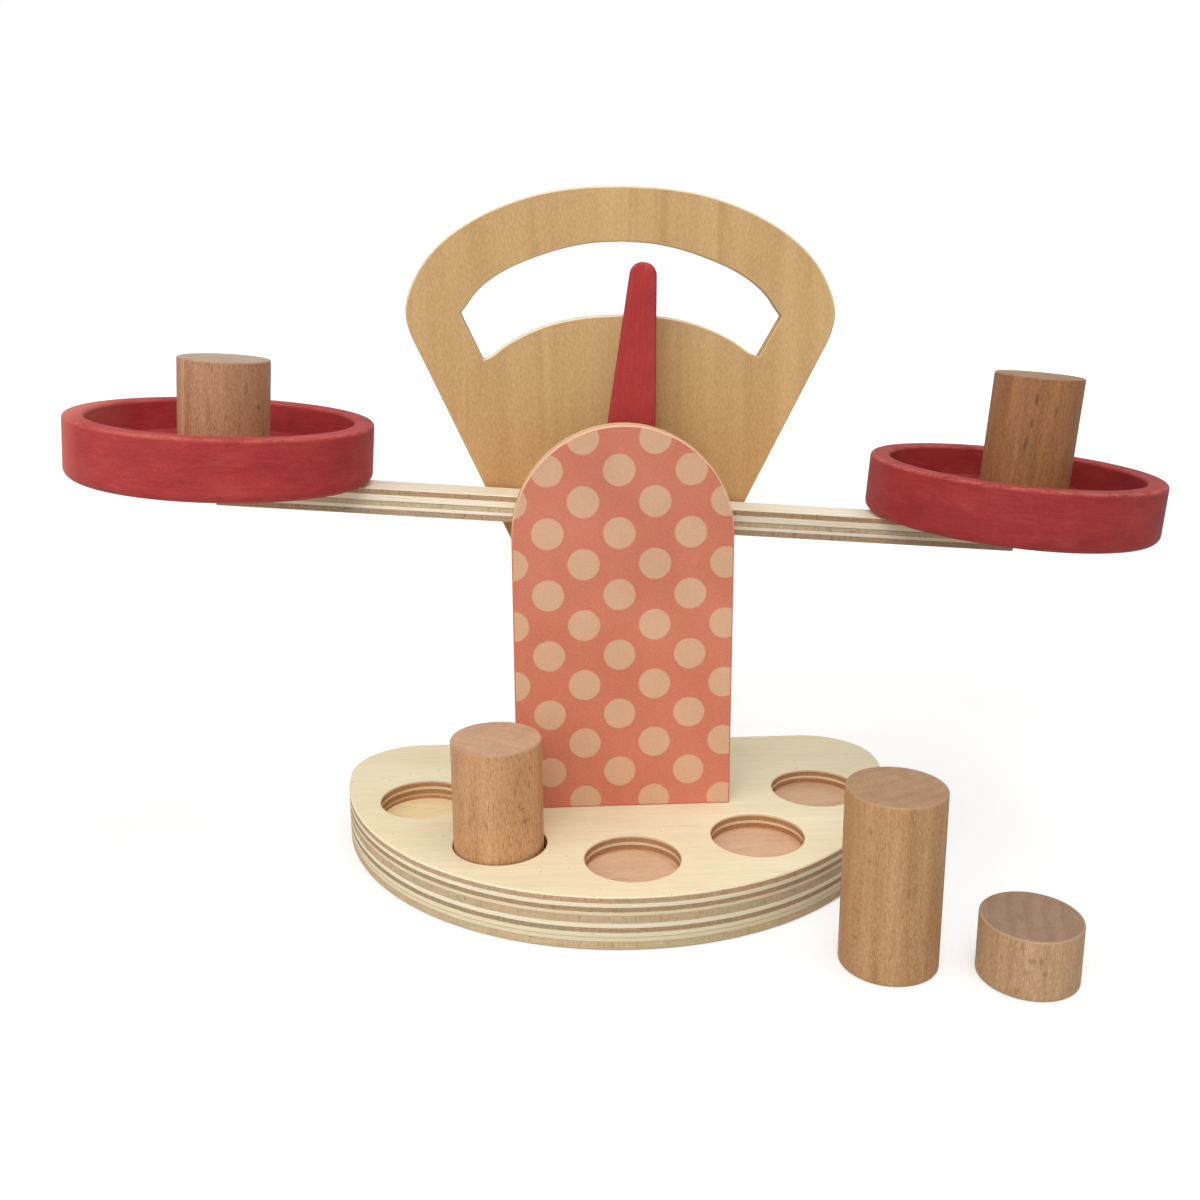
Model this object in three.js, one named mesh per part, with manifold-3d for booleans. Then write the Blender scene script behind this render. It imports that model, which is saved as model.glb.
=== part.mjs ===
// Toy balance scale: a plywood base with five weight recesses, two uprights,
// a tilting plywood beam with a pointer and two round pans, and five
// cylindrical beech weights.
//
// Frame: millimetres, +Z up, +X to the right seen from the front, +Y to the
// rear. Origin: centre of the base board's underside.

import * as THREE from 'three';
import { mergeVertices } from 'three/addons/utils/BufferGeometryUtils.js';
import Module from 'manifold-3d';

const wasm = await Module();
wasm.setup();

// ---------------------------------------------------------------- dimensions
const GAP = 0.3;                 // play left between neighbouring pieces

// base board: half disc with a short straight-backed rear strip
const BASE_R = 100;              // front arc radius
const BASE_ARC_Y = 37.5;         // arc centre
const BASE_BACK_Y = 62.5;        // straight rear edge
const BASE_CORNER_R = 25;        // rear corners
const BASE_T = 18;               // board thickness

// recesses that park the weights
const RECESS_R = 15.55;
const RECESS_RING_R = 75;        // pitch radius about the arc centre
const RECESS_STEP = 35;          // degrees between neighbours
const RECESS_DEPTHS = [6.8, 6.8, 5.4, 5.4, 5.4];

// uprights
const PANEL_W = 75;
const PANEL_TOP_Z = 152.9;       // crown of the front panel's round head
const PANEL_FRONT_Y = 1.5;
const PANEL_T = 8;
const DIAL_FRONT_Y = 27.5;
const DIAL_T = 6;
const DIAL_STEM_W = 75;
const DIAL_FLARE_Z = 106.9;      // where the stem starts to flare
// right half of the dial head, from the flare's end to the crown: [x, z]
const DIAL_HEAD = [
  [69.6, 174.6], [71.6, 178.8], [73.0, 183.0], [73.65, 187.6], [73.0, 192.2],
  [70.3, 199.0], [66.1, 205.5], [59.6, 212.0], [50.2, 218.3], [38.6, 223.6],
  [26.4, 227.2], [13.4, 229.1], [0, 229.7],
];
// window: upper edge, then lower edge, right half: [x, z]
const WINDOW_TOP = [
  [0, 211.6], [11.0, 210.9], [21.6, 208.7], [32.0, 205.2], [39.6, 201.8],
  [45.6, 198.0], [50.2, 193.8], [53.2, 189.6],
];
const WINDOW_OUTER = [55.1, 187.2];
const WINDOW_LOWER = [47.6, 172.5];
const WINDOW_BOTTOM = [
  [44.6, 173.8], [39.1, 177.8], [32.4, 181.3], [23.3, 184.6], [12.0, 186.6],
  [0, 187.2],
];
const WINDOW_LOW_X = 1.4;        // its lower edge sits upright, moved to the right
const CORNER_R = 0.6;            // rounding of the window's outer corners
const CORNER_LOW_R = 0.5;        // rounding of the window's lower corners
const DIAL_LEAN = 1.0;           // degrees, the head leans to the right
const DIAL_LEAN_Z = 92.7;        // height it leans about

// blocks between the uprights
const BLOCK_W = 60;
const FOOT_BLOCK_H = 26;
const STOP_BLOCK_H = 25;

// balance beam and its pivot
const TILT = 4.4;                // degrees, right end down, on the stop
const PIVOT_X = 1.1;             // the pin sits right of the panel's middle
const PIVOT_Y = 18.5;
const PIVOT_Z = 120.5;
const BEAM_L = 274;
const BEAM_W = 15;
const BEAM_T = 9;
const PIN_R = 2;
const PIN_FRONT_Y = 5.0;
const PIN_REAR_Y = 33.2;
const WASHER_R = 4.6;
const WASHER_T = 0.9;

// pans
const PAN_X = 136.5;             // pan axis to pivot, along the beam
const PAN_R = 50;
const PAN_H = 20;
const PAN_RIM = 6.8;
const PAN_FLOOR = 8.5;
const PAN_TOP_ROUND = 1.3;
const PAN_FOOT_ROUND = 3.0;

// pointer
const POINTER_T = 6;
const POINTER_S = 0.6;           // its middle, to the right of the pin
const POINTER_FOOT_HALF = 10.0;  // half width where it stands on the beam
const POINTER_TIP_HALF = 4.45;   // half width where the round tip starts
const POINTER_TIP_C = 80.3;      // centre of the round tip above the pivot
const POINTER_TOP = 84.7;        // tip above the pivot

// weights: 30 mm beech rod, in steps of 12.5 mm
const WEIGHT_R = 14.9;
const WEIGHT_EDGE = 0.7;         // chamfer on both ends
const H_ONE = 18.8;
const H_TWO = 31.3;
const H_THREE = 43.8;
const H_FOUR = 56.3;

// screws: countersunk wood screws
const SCREW_HEAD_R = 3.5;
const SCREW_R = 1.75;
const BASE_SCREW_X = 10;
const BASE_SCREW_L = 36;
const DIAL_SCREW_X = 22;
const DIAL_SCREW_L = 20;
const PAN_SCREW_L = 14.5;
const PAN_SCREW_S = [103, 127];
const POINTER_SCREW_S = 6;
const POINTER_SCREW_L = 20;

const ROD_SEGMENTS = 36;
const PAN_SEGMENTS = 48;
const SMALL_SEGMENTS = 12;

// ------------------------------------------------------------------- helpers
const rad = (d) => (d * Math.PI) / 180;

// Indexed, welded copy of a geometry without zero-area triangles.
function weld(geometry) {
  const g = geometry.clone();
  for (const name of Object.keys(g.attributes)) {
    if (name !== 'position') g.deleteAttribute(name);
  }
  const merged = mergeVertices(g, 1e-4);
  const src = merged.index.array;
  const keep = [];
  for (let i = 0; i < src.length; i += 3) {
    const [a, b, c] = [src[i], src[i + 1], src[i + 2]];
    if (a !== b && b !== c && c !== a) keep.push(a, b, c);
  }
  // drop vertices no triangle uses
  const used = new Map();
  const xyz = [];
  const p = merged.attributes.position;
  const index = keep.map((v) => {
    if (!used.has(v)) {
      used.set(v, xyz.length / 3);
      xyz.push(p.getX(v), p.getY(v), p.getZ(v));
    }
    return used.get(v);
  });
  let volume = 0;
  const at = (i) => new THREE.Vector3(xyz[3 * i], xyz[3 * i + 1], xyz[3 * i + 2]);
  for (let i = 0; i < index.length; i += 3) {
    volume += at(index[i]).dot(at(index[i + 1]).cross(at(index[i + 2])));
  }
  if (volume < 0) {
    for (let i = 0; i < index.length; i += 3) {
      [index[i + 1], index[i + 2]] = [index[i + 2], index[i + 1]];
    }
  }
  const out = new THREE.BufferGeometry();
  out.setAttribute('position', new THREE.Float32BufferAttribute(xyz, 3));
  out.setIndex(index);
  return out;
}

function solid(geometry) {
  const g = weld(geometry);
  return new wasm.Manifold(new wasm.Mesh({
    numProp: 3,
    vertProperties: new Float32Array(g.attributes.position.array),
    triVerts: new Uint32Array(g.index.array),
  }));
}

function unsolid(manifold) {
  const m = manifold.getMesh();
  const n = m.numProp;
  const xyz = [];
  for (let i = 0; i < m.vertProperties.length; i += n) {
    xyz.push(m.vertProperties[i], m.vertProperties[i + 1], m.vertProperties[i + 2]);
  }
  const g = new THREE.BufferGeometry();
  g.setAttribute('position', new THREE.Float32BufferAttribute(xyz, 3));
  g.setIndex(Array.from(m.triVerts));
  return g;
}

function cut(body, tools) {
  let m = body;
  for (const t of tools) m = m.subtract(t);
  return m;
}

// Turned solid about +Z from [radius, height] pairs that start and end on the
// axis.
function turned(profile, segments) {
  const g = new THREE.LatheGeometry(profile.map(([r, h]) => new THREE.Vector2(r, h)), segments);
  g.rotateX(Math.PI / 2);
  return g;
}

// Box given by its lowest and highest corner.
function box(lo, hi) {
  const g = new THREE.BoxGeometry(hi[0] - lo[0], hi[1] - lo[1], hi[2] - lo[2]);
  g.translate((lo[0] + hi[0]) / 2, (lo[1] + hi[1]) / 2, (lo[2] + hi[2]) / 2);
  return g;
}

// Plate standing upright: an outline in X and Z, from y0 to y0 + thickness.
function upright(shape, y0, thickness) {
  const g = new THREE.ExtrudeGeometry(shape, {
    depth: thickness, bevelEnabled: false, curveSegments: 20,
  });
  g.rotateX(Math.PI / 2);
  g.translate(0, y0 + thickness, 0);
  return g;
}

// Points of a smooth curve through the given ones.
function smooth(points, steps) {
  const c = new THREE.CatmullRomCurve3(
    points.map(([x, z]) => new THREE.Vector3(x, z, 0)), false, 'centripetal');
  return c.getPoints(steps).map((v) => [v.x, v.y]);
}

// Rounded corner at b between a and c, as a short run of points.
function corner(a, b, c, r, steps) {
  const A = new THREE.Vector2(...a), B = new THREE.Vector2(...b), C = new THREE.Vector2(...c);
  const u = A.clone().sub(B).normalize();
  const v = C.clone().sub(B).normalize();
  const half = Math.acos(u.dot(v)) / 2;
  const t = r / Math.tan(half);
  const m = B.clone().addScaledVector(u.clone().add(v).normalize(), r / Math.sin(half));
  const p = B.clone().addScaledVector(u, t).sub(m);
  const q = B.clone().addScaledVector(v, t).sub(m);
  const turn = Math.atan2(p.x * q.y - p.y * q.x, p.dot(q));
  const out = [];
  for (let i = 0; i <= steps; i++) {
    const w = p.clone().rotateAround(new THREE.Vector2(0, 0), (turn * i) / steps);
    out.push([m.x + w.x, m.y + w.y]);
  }
  return out;
}

const outline = (points) => points.map(([x, z]) => new THREE.Vector2(x, z));
const mirrored = (points) => points.map(([x, z]) => [-x, z]).reverse();

// Countersunk screw along +Z: head face at 0, point at length. grow widens it
// all round and gives its hole.
function screw(length, radius = SCREW_R, grow = 0) {
  const head = SCREW_HEAD_R * (radius / SCREW_R);
  const neck = 2.1 * (radius / SCREW_R);
  if (grow > 0) {
    return solid(turned([
      [0, -2], [head + grow, -2], [head + grow, 0.25], [radius + grow, neck + 0.35],
      [radius + grow, length - 1.6], [0.5, length + grow + 0.2], [0, length + grow + 0.2],
    ], SMALL_SEGMENTS));
  }
  let m = solid(turned([
    [0, 0], [head, 0], [head, 0.25], [radius, neck], [radius, length - 2.4],
    [0.25, length], [0, length],
  ], SMALL_SEGMENTS));
  const arm = head * 0.62;
  m = m.subtract(solid(box([-arm, -0.4, -1], [arm, 0.4, 1.1])));
  m = m.subtract(solid(box([-0.4, -arm, -1], [0.4, arm, 1.1])));
  return m;
}

// Put a manifold somewhere: rotation in degrees about X, then a translation.
const place = (m, turnX, at) => m.rotate([turnX, 0, 0]).translate(at);

// ----------------------------------------------------------------- materials
const COLOURS = {
  birch: [0xe9d9ae, 0.62], basswood: [0xd5ab6c, 0.55], print: [0xd97a5f, 0.7],
  red: [0xb1383d, 0.6], beech: [0xc79570, 0.6], steel: [0xb9bcc0, 0.35],
  nylon: [0xeceae2, 0.5],
};
const group = new THREE.Group();
const balance = new THREE.Group();
balance.position.set(PIVOT_X, PIVOT_Y, PIVOT_Z);
balance.rotation.y = rad(TILT);
group.add(balance);

function add(parent, name, geometry, colour) {
  const [color, roughness] = COLOURS[colour];
  const mesh = new THREE.Mesh(
    weld(geometry),
    new THREE.MeshStandardMaterial({ color, roughness, metalness: colour === 'steel' ? 1 : 0 }));
  mesh.geometry.computeVertexNormals();
  mesh.name = name;
  parent.add(mesh);
  return mesh;
}

// ---------------------------------------------------------------- base board
const baseShape = new THREE.Shape();
baseShape.absarc(0, BASE_ARC_Y, BASE_R, Math.PI, 2 * Math.PI, false);
baseShape.absarc(BASE_R - BASE_CORNER_R, BASE_BACK_Y - BASE_CORNER_R, BASE_CORNER_R,
  0, Math.PI / 2, false);
baseShape.absarc(-BASE_R + BASE_CORNER_R, BASE_BACK_Y - BASE_CORNER_R, BASE_CORNER_R,
  Math.PI / 2, Math.PI, false);
const baseGeometry = new THREE.ExtrudeGeometry(baseShape, {
  depth: BASE_T, bevelEnabled: false, curveSegments: 24,
});

const recessAt = (i) => {
  const a = rad(RECESS_STEP * (i - 2));
  return [RECESS_RING_R * Math.sin(a), BASE_ARC_Y - RECESS_RING_R * Math.cos(a)];
};
const baseTools = RECESS_DEPTHS.map((depth, i) => {
  const [x, y] = recessAt(i);
  return solid(turned([[0, 0], [RECESS_R, 0], [RECESS_R, depth + 2], [0, depth + 2]],
    ROD_SEGMENTS)).translate([x, y, BASE_T - depth]);
});
for (const side of [-1, 1]) {
  baseTools.push(place(screw(BASE_SCREW_L, SCREW_R, GAP), 0, [side * BASE_SCREW_X, PIVOT_Y, 0.6]));
}
add(group, 'base_board', unsolid(cut(solid(baseGeometry), baseTools)), 'birch');

// --------------------------------------------------------------- front panel
const half = PANEL_W / 2;
const panelShape = new THREE.Shape();
panelShape.moveTo(-half, BASE_T + GAP);
panelShape.lineTo(half, BASE_T + GAP);
panelShape.lineTo(half, PANEL_TOP_Z - half);
panelShape.absarc(0, PANEL_TOP_Z - half, half, 0, Math.PI, false);
const pinHole = (y0, y1) => solid(turned(
  [[0, 0], [PIN_R + GAP, 0], [PIN_R + GAP, y1 - y0], [0, y1 - y0]], SMALL_SEGMENTS))
  .rotate([-90, 0, 0]).translate([PIVOT_X, y0, PIVOT_Z]);
add(group, 'front_panel',
  unsolid(solid(upright(panelShape, PANEL_FRONT_Y, PANEL_T))
    .subtract(pinHole(PIN_FRONT_Y - GAP, PANEL_FRONT_Y + PANEL_T + 2))), 'print');

// ---------------------------------------------------------------- dial plate
const head = smooth(DIAL_HEAD, 26);
const stem = DIAL_STEM_W / 2;
const dialRight = [[stem, BASE_T + GAP], [stem, DIAL_FLARE_Z], ...head];
const lean = ([x, z]) => {
  const p = new THREE.Vector2(x, z)
    .rotateAround(new THREE.Vector2(0, DIAL_LEAN_Z), -rad(DIAL_LEAN));
  return [p.x, p.y];
};
const dialPoints = [...dialRight, ...mirrored(dialRight).slice(1)]
  .map((p) => (p[1] < DIAL_FLARE_Z ? p : lean(p)));
const windowTop = smooth(WINDOW_TOP, 14);
const windowBottom = smooth(WINDOW_BOTTOM, 11);
const low = ([x, z]) => [x + WINDOW_LOW_X, z];
const windowSide = (side) => {
  const leant = ([x, z]) => lean([side * x, z]);
  const moved = ([x, z]) => low([side * x, z]);
  const top = windowTop.map(leant);
  const bottom = windowBottom.map(moved);
  const outer = leant(WINDOW_OUTER), lower = moved(WINDOW_LOWER);
  return [
    ...top,
    ...corner(top[top.length - 1], outer, lower, CORNER_R, 4),
    ...corner(outer, lower, bottom[0], CORNER_LOW_R, 4),
    ...bottom,
  ];
};
const windowPoints = [...windowSide(1), ...windowSide(-1).reverse().slice(1, -1)];
const dialShape = new THREE.Shape(outline(dialPoints));
dialShape.holes.push(new THREE.Path(outline(windowPoints)));
const dialScrewZ = [BASE_T + GAP + FOOT_BLOCK_H / 2];
const stopTop = PIVOT_Z - BEAM_T / 2 / Math.cos(rad(TILT))
  - (BLOCK_W / 2) * Math.tan(rad(TILT)) - GAP;
dialScrewZ.push(stopTop - STOP_BLOCK_H / 2);
const dialRearY = DIAL_FRONT_Y + DIAL_T;
const dialScrewPlaces = [];
for (const [row, z] of [['lower', dialScrewZ[0]], ['upper', dialScrewZ[1]]]) {
  for (const [name, side] of [['left', -1], ['right', 1]]) {
    dialScrewPlaces.push([`dial_screw_${row}_${name}`, [side * DIAL_SCREW_X, dialRearY - 0.1, z]]);
  }
}
const dialScrewHoles = dialScrewPlaces.map(([, at]) => place(screw(DIAL_SCREW_L, SCREW_R, GAP), 90, at));
add(group, 'dial_plate',
  unsolid(cut(solid(upright(dialShape, DIAL_FRONT_Y, DIAL_T)),
    [...dialScrewHoles, pinHole(DIAL_FRONT_Y - 2, dialRearY + 2)])), 'basswood');

// ------------------------------------------------- blocks between the uprights
const blockFront = PANEL_FRONT_Y + PANEL_T + GAP;
const blockRear = DIAL_FRONT_Y - GAP;
const baseScrewPlaces = [['base_screw_left', -BASE_SCREW_X], ['base_screw_right', BASE_SCREW_X]];
const baseScrewHoles = baseScrewPlaces.map(([, x]) =>
  place(screw(BASE_SCREW_L, SCREW_R, GAP), 0, [x, PIVOT_Y, 0.6]));
add(group, 'foot_block',
  unsolid(cut(solid(box([-BLOCK_W / 2, blockFront, BASE_T + GAP],
    [BLOCK_W / 2, blockRear, BASE_T + GAP + FOOT_BLOCK_H])),
  [...baseScrewHoles, ...dialScrewHoles])), 'beech');
add(group, 'stop_block',
  unsolid(cut(solid(box([PIVOT_X - BLOCK_W / 2, blockFront, stopTop - STOP_BLOCK_H],
    [PIVOT_X + BLOCK_W / 2, blockRear, stopTop])), dialScrewHoles)), 'beech');

for (const [name, x] of baseScrewPlaces) {
  add(group, name, unsolid(place(screw(BASE_SCREW_L), 0, [x, PIVOT_Y, 0.6])), 'steel');
}
for (const [name, at] of dialScrewPlaces) {
  add(group, name, unsolid(place(screw(DIAL_SCREW_L), 90, at)), 'steel');
}

// ---------------------------------------------------------- pivot and washers
const pinL = PIN_REAR_Y - PIN_FRONT_Y;
add(group, 'pivot_pin', turned(
  [[0, 0], [PIN_R - 0.4, 0], [PIN_R, 0.4], [PIN_R, pinL - 0.4], [PIN_R - 0.4, pinL], [0, pinL]],
  SMALL_SEGMENTS).rotateX(-Math.PI / 2).translate(PIVOT_X, PIN_FRONT_Y, PIVOT_Z), 'steel');
const washer = (y) => turned(
  [[PIN_R + GAP, 0], [WASHER_R, 0], [WASHER_R, WASHER_T], [PIN_R + GAP, WASHER_T], [PIN_R + GAP, 0]],
  SMALL_SEGMENTS).rotateX(-Math.PI / 2).translate(PIVOT_X, y, PIVOT_Z);
add(group, 'washer_front', washer(PANEL_FRONT_Y + PANEL_T + GAP), 'nylon');
add(group, 'washer_rear', washer(DIAL_FRONT_Y - GAP - WASHER_T), 'nylon');

// ------------------------------------------------------- beam (pivot at 0,0,0)
const beamTop = BEAM_T / 2;
const panScrewPlaces = [];
for (const [name, side] of [['left', -1], ['right', 1]]) {
  for (const [where, s] of [['inner', PAN_SCREW_S[0]], ['outer', PAN_SCREW_S[1]]]) {
    panScrewPlaces.push([`pan_screw_${name}_${where}`, [side * s, 0, -beamTop + 0.1]]);
  }
}
const panScrewHoles = panScrewPlaces.map(([, at]) => place(screw(PAN_SCREW_L, 1.6, GAP), 0, at));
const pointerScrewPlaces = [['pointer_screw_left', -1], ['pointer_screw_right', 1]]
  .map(([name, side]) => [name, [POINTER_S + side * POINTER_SCREW_S, 0, -beamTop + 0.1]]);
const pointerScrewHoles = pointerScrewPlaces.map(([, at]) =>
  place(screw(POINTER_SCREW_L, 1.2, GAP), 0, at));
const beamPinHole = solid(turned(
  [[0, 0], [PIN_R + GAP, 0], [PIN_R + GAP, BEAM_W + 4], [0, BEAM_W + 4]], SMALL_SEGMENTS))
  .rotate([-90, 0, 0]).translate([0, -BEAM_W / 2 - 2, 0]);
add(balance, 'beam', unsolid(cut(
  solid(box([-BEAM_L / 2, -BEAM_W / 2, -BEAM_T / 2], [BEAM_L / 2, BEAM_W / 2, BEAM_T / 2])),
  [beamPinHole, ...panScrewHoles, ...pointerScrewHoles])), 'birch');

// pointer: tapered blade with a round tip, standing on the beam
const pointerFoot = beamTop + GAP;
const tip = [];
const tipA = Math.asin((POINTER_FOOT_HALF - POINTER_TIP_HALF) / (POINTER_TIP_C - pointerFoot));
const tipR = POINTER_TOP - POINTER_TIP_C;
for (let i = 0; i <= 14; i++) {
  const a = tipA + ((Math.PI - 2 * tipA) * i) / 14;
  tip.push([tipR * Math.cos(a), POINTER_TIP_C + tipR * Math.sin(a)]);
}
const pointerPoints = [[-POINTER_FOOT_HALF, pointerFoot], [POINTER_FOOT_HALF, pointerFoot], ...tip]
  .map(([x, z]) => [x + POINTER_S, z]);
add(balance, 'pointer', unsolid(cut(
  solid(upright(new THREE.Shape(outline(pointerPoints)), -POINTER_T / 2, POINTER_T)),
  pointerScrewHoles)), 'red');

// pans
const arc = (cx, cz, r, a0, a1, n) => Array.from({ length: n + 1 }, (_, i) => {
  const a = rad(a0 + ((a1 - a0) * i) / n);
  return [cx + r * Math.cos(a), cz + r * Math.sin(a)];
});
const panProfile = [
  [0, 0],
  ...arc(PAN_R - PAN_FOOT_ROUND, PAN_FOOT_ROUND, PAN_FOOT_ROUND, -90, 0, 3),
  ...arc(PAN_R - PAN_TOP_ROUND, PAN_H - PAN_TOP_ROUND, PAN_TOP_ROUND, 0, 90, 2),
  ...arc(PAN_R - PAN_RIM + PAN_TOP_ROUND, PAN_H - PAN_TOP_ROUND, PAN_TOP_ROUND, 90, 180, 2),
  [PAN_R - PAN_RIM, PAN_FLOOR],
  [0, PAN_FLOOR],
];
const panZ = beamTop + GAP;
for (const [name, side] of [['pan_left', -1], ['pan_right', 1]]) {
  const m = solid(turned(panProfile, PAN_SEGMENTS)).translate([side * PAN_X, 0, panZ]);
  add(balance, name, unsolid(cut(m, panScrewHoles)), 'red');
}
for (const [name, at] of panScrewPlaces) {
  add(balance, name, unsolid(place(screw(PAN_SCREW_L, 1.6), 0, at)), 'steel');
}
for (const [name, at] of pointerScrewPlaces) {
  add(balance, name, unsolid(place(screw(POINTER_SCREW_L, 1.2), 0, at)), 'steel');
}

// ------------------------------------------------------------------- weights
const rod = (h) => turned([
  [0, 0], [WEIGHT_R - WEIGHT_EDGE, 0], [WEIGHT_R, WEIGHT_EDGE],
  [WEIGHT_R, h - WEIGHT_EDGE], [WEIGHT_R - WEIGHT_EDGE, h], [0, h],
], ROD_SEGMENTS);
const panFloorZ = panZ + PAN_FLOOR + GAP;
add(balance, 'weight_two', rod(H_TWO), 'beech').position.set(-135.0, -5.0, panFloorZ);
add(balance, 'weight_three_pan', rod(H_THREE), 'beech').position.set(138.4, -4.6, panFloorZ);
const [parkX, parkY] = recessAt(1);
add(group, 'weight_three_base', rod(H_THREE), 'beech')
  .position.set(parkX - 0.35, parkY, BASE_T - RECESS_DEPTHS[1] + GAP);
add(group, 'weight_four', rod(H_FOUR), 'beech').position.set(74.4, -72.4, 0);
add(group, 'weight_one', rod(H_ONE), 'beech').position.set(113.4, -82.4, 0);

export default group;
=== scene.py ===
import math
import random

import bpy
import bmesh
from mathutils import Matrix, Vector
from mathutils.geometry import tessellate_polygon


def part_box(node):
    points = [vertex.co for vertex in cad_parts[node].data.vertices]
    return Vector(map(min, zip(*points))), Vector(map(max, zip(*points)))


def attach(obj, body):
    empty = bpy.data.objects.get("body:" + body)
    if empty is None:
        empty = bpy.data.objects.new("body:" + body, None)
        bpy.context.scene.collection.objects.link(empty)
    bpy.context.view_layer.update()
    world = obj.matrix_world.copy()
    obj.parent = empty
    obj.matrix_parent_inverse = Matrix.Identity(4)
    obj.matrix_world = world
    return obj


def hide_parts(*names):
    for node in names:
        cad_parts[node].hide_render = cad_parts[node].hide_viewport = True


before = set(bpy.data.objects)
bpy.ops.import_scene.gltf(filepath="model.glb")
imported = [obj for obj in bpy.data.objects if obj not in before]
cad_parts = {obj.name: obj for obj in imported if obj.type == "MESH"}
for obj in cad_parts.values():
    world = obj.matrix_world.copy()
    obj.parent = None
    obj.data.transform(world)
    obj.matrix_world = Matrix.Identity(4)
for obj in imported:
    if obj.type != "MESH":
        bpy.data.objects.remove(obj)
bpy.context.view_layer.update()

random.seed(7)

# ------------------------------------------------------------------ dimensions
# millimetres, in the row's frame; the same numbers as the part's own source
BASE_R, BASE_ARC_Y, BASE_BACK_Y, BASE_CORNER_R, BASE_T = 100, 37.5, 62.5, 25, 18
RECESS_R, RING_R, RING_STEP = 15.55, 75, 35
DEPTHS = [6.8, 6.8, 5.4, 5.4, 5.4]
PANEL_W, PANEL_TOP, PANEL_Y, PANEL_T = 75, 152.9, 1.5, 8
DIAL_Y, DIAL_T, STEM_W, FLARE_Z = 27.5, 6, 75, 106.9
DIAL_HEAD = [
    (69.6, 174.6), (71.6, 178.8), (73.0, 183.0), (73.65, 187.6), (73.0, 192.2),
    (70.3, 199.0), (66.1, 205.5), (59.6, 212.0), (50.2, 218.3), (38.6, 223.6),
    (26.4, 227.2), (13.4, 229.1), (0, 229.7)]
WINDOW_TOP = [
    (0, 211.6), (11.0, 210.9), (21.6, 208.7), (32.0, 205.2), (39.6, 201.8),
    (45.6, 198.0), (50.2, 193.8), (53.2, 189.6)]
WINDOW_OUTER, WINDOW_LOWER, WINDOW_LOW_X = (55.1, 187.2), (47.6, 172.5), 1.4
WINDOW_BOTTOM = [
    (44.6, 173.8), (39.1, 177.8), (32.4, 181.3), (23.3, 184.6), (12.0, 186.6),
    (0, 187.2)]
TILT = math.radians(4.4)
PIVOT = Vector((1.1, 18.5, 120.5))
LEAN, LEAN_Z = math.radians(1.0), 92.7
BEAM_L, BEAM_W, BEAM_T = 274, 15, 9
PAN_X, PAN_R, PAN_H, PAN_RIM, PAN_FLOOR = 136.5, 50, 20, 6.8, 8.5
TIP_C, TIP_TOP, TIP_HALF, FOOT_HALF, POINTER_T, POINTER_S = 80.3, 84.7, 4.45, 10.0, 6, 0.6
WEIGHT_R = 14.9
MM = 0.001

BALANCE = Matrix.Translation(PIVOT * MM) @ Matrix.Rotation(TILT, 4, "Y")


def on_balance(x, y, z, turn=0.0):
    return BALANCE @ Matrix.Translation(Vector((x, y, z)) * MM) @ Matrix.Rotation(turn, 4, "Z")


# ---------------------------------------------------------------- mesh builder
def area(loop):
    return 0.5 * sum(a[0] * b[1] - b[0] * a[1] for a, b in zip(loop, loop[1:] + loop[:1]))


def wound(loop, ccw):
    loop = [tuple(p) for p in loop]
    return loop if (area(loop) > 0) == ccw else loop[::-1]


def inset(loop, d):
    """Closed loop moved to its left by d."""
    if d == 0:
        return list(loop)
    out, n = [], len(loop)
    for i in range(n):
        p0, p, p1 = Vector(loop[i - 1]), Vector(loop[i]), Vector(loop[(i + 1) % n])
        e0, e1 = (p - p0).normalized(), (p1 - p).normalized()
        n0, n1 = Vector((-e0.y, e0.x)), Vector((-e1.y, e1.x))
        b = (n0 + n1).normalized()
        out.append(tuple(p + b * (d / max(0.35, b.dot(n0)))))
    return out


def rounding(r, seg):
    """(inset, depth) from the flat face to the side wall."""
    if r <= 0:
        return [(0, 0)]
    return [(r * (1 - math.sin(math.pi / 2 * k / seg)), r * (1 - math.cos(math.pi / 2 * k / seg)))
            for k in range(seg + 1)]


def circle(cx, cy, r, n=72, a0=0.0):
    return [(cx + r * math.cos(a0 + 2 * math.pi * i / n), cy + r * math.sin(a0 + 2 * math.pi * i / n))
            for i in range(n)]


def weigh(ob):
    w = ob.modifiers.new("normals", "WEIGHTED_NORMAL")
    w.keep_sharp = True
    w.weight = 80


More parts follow.
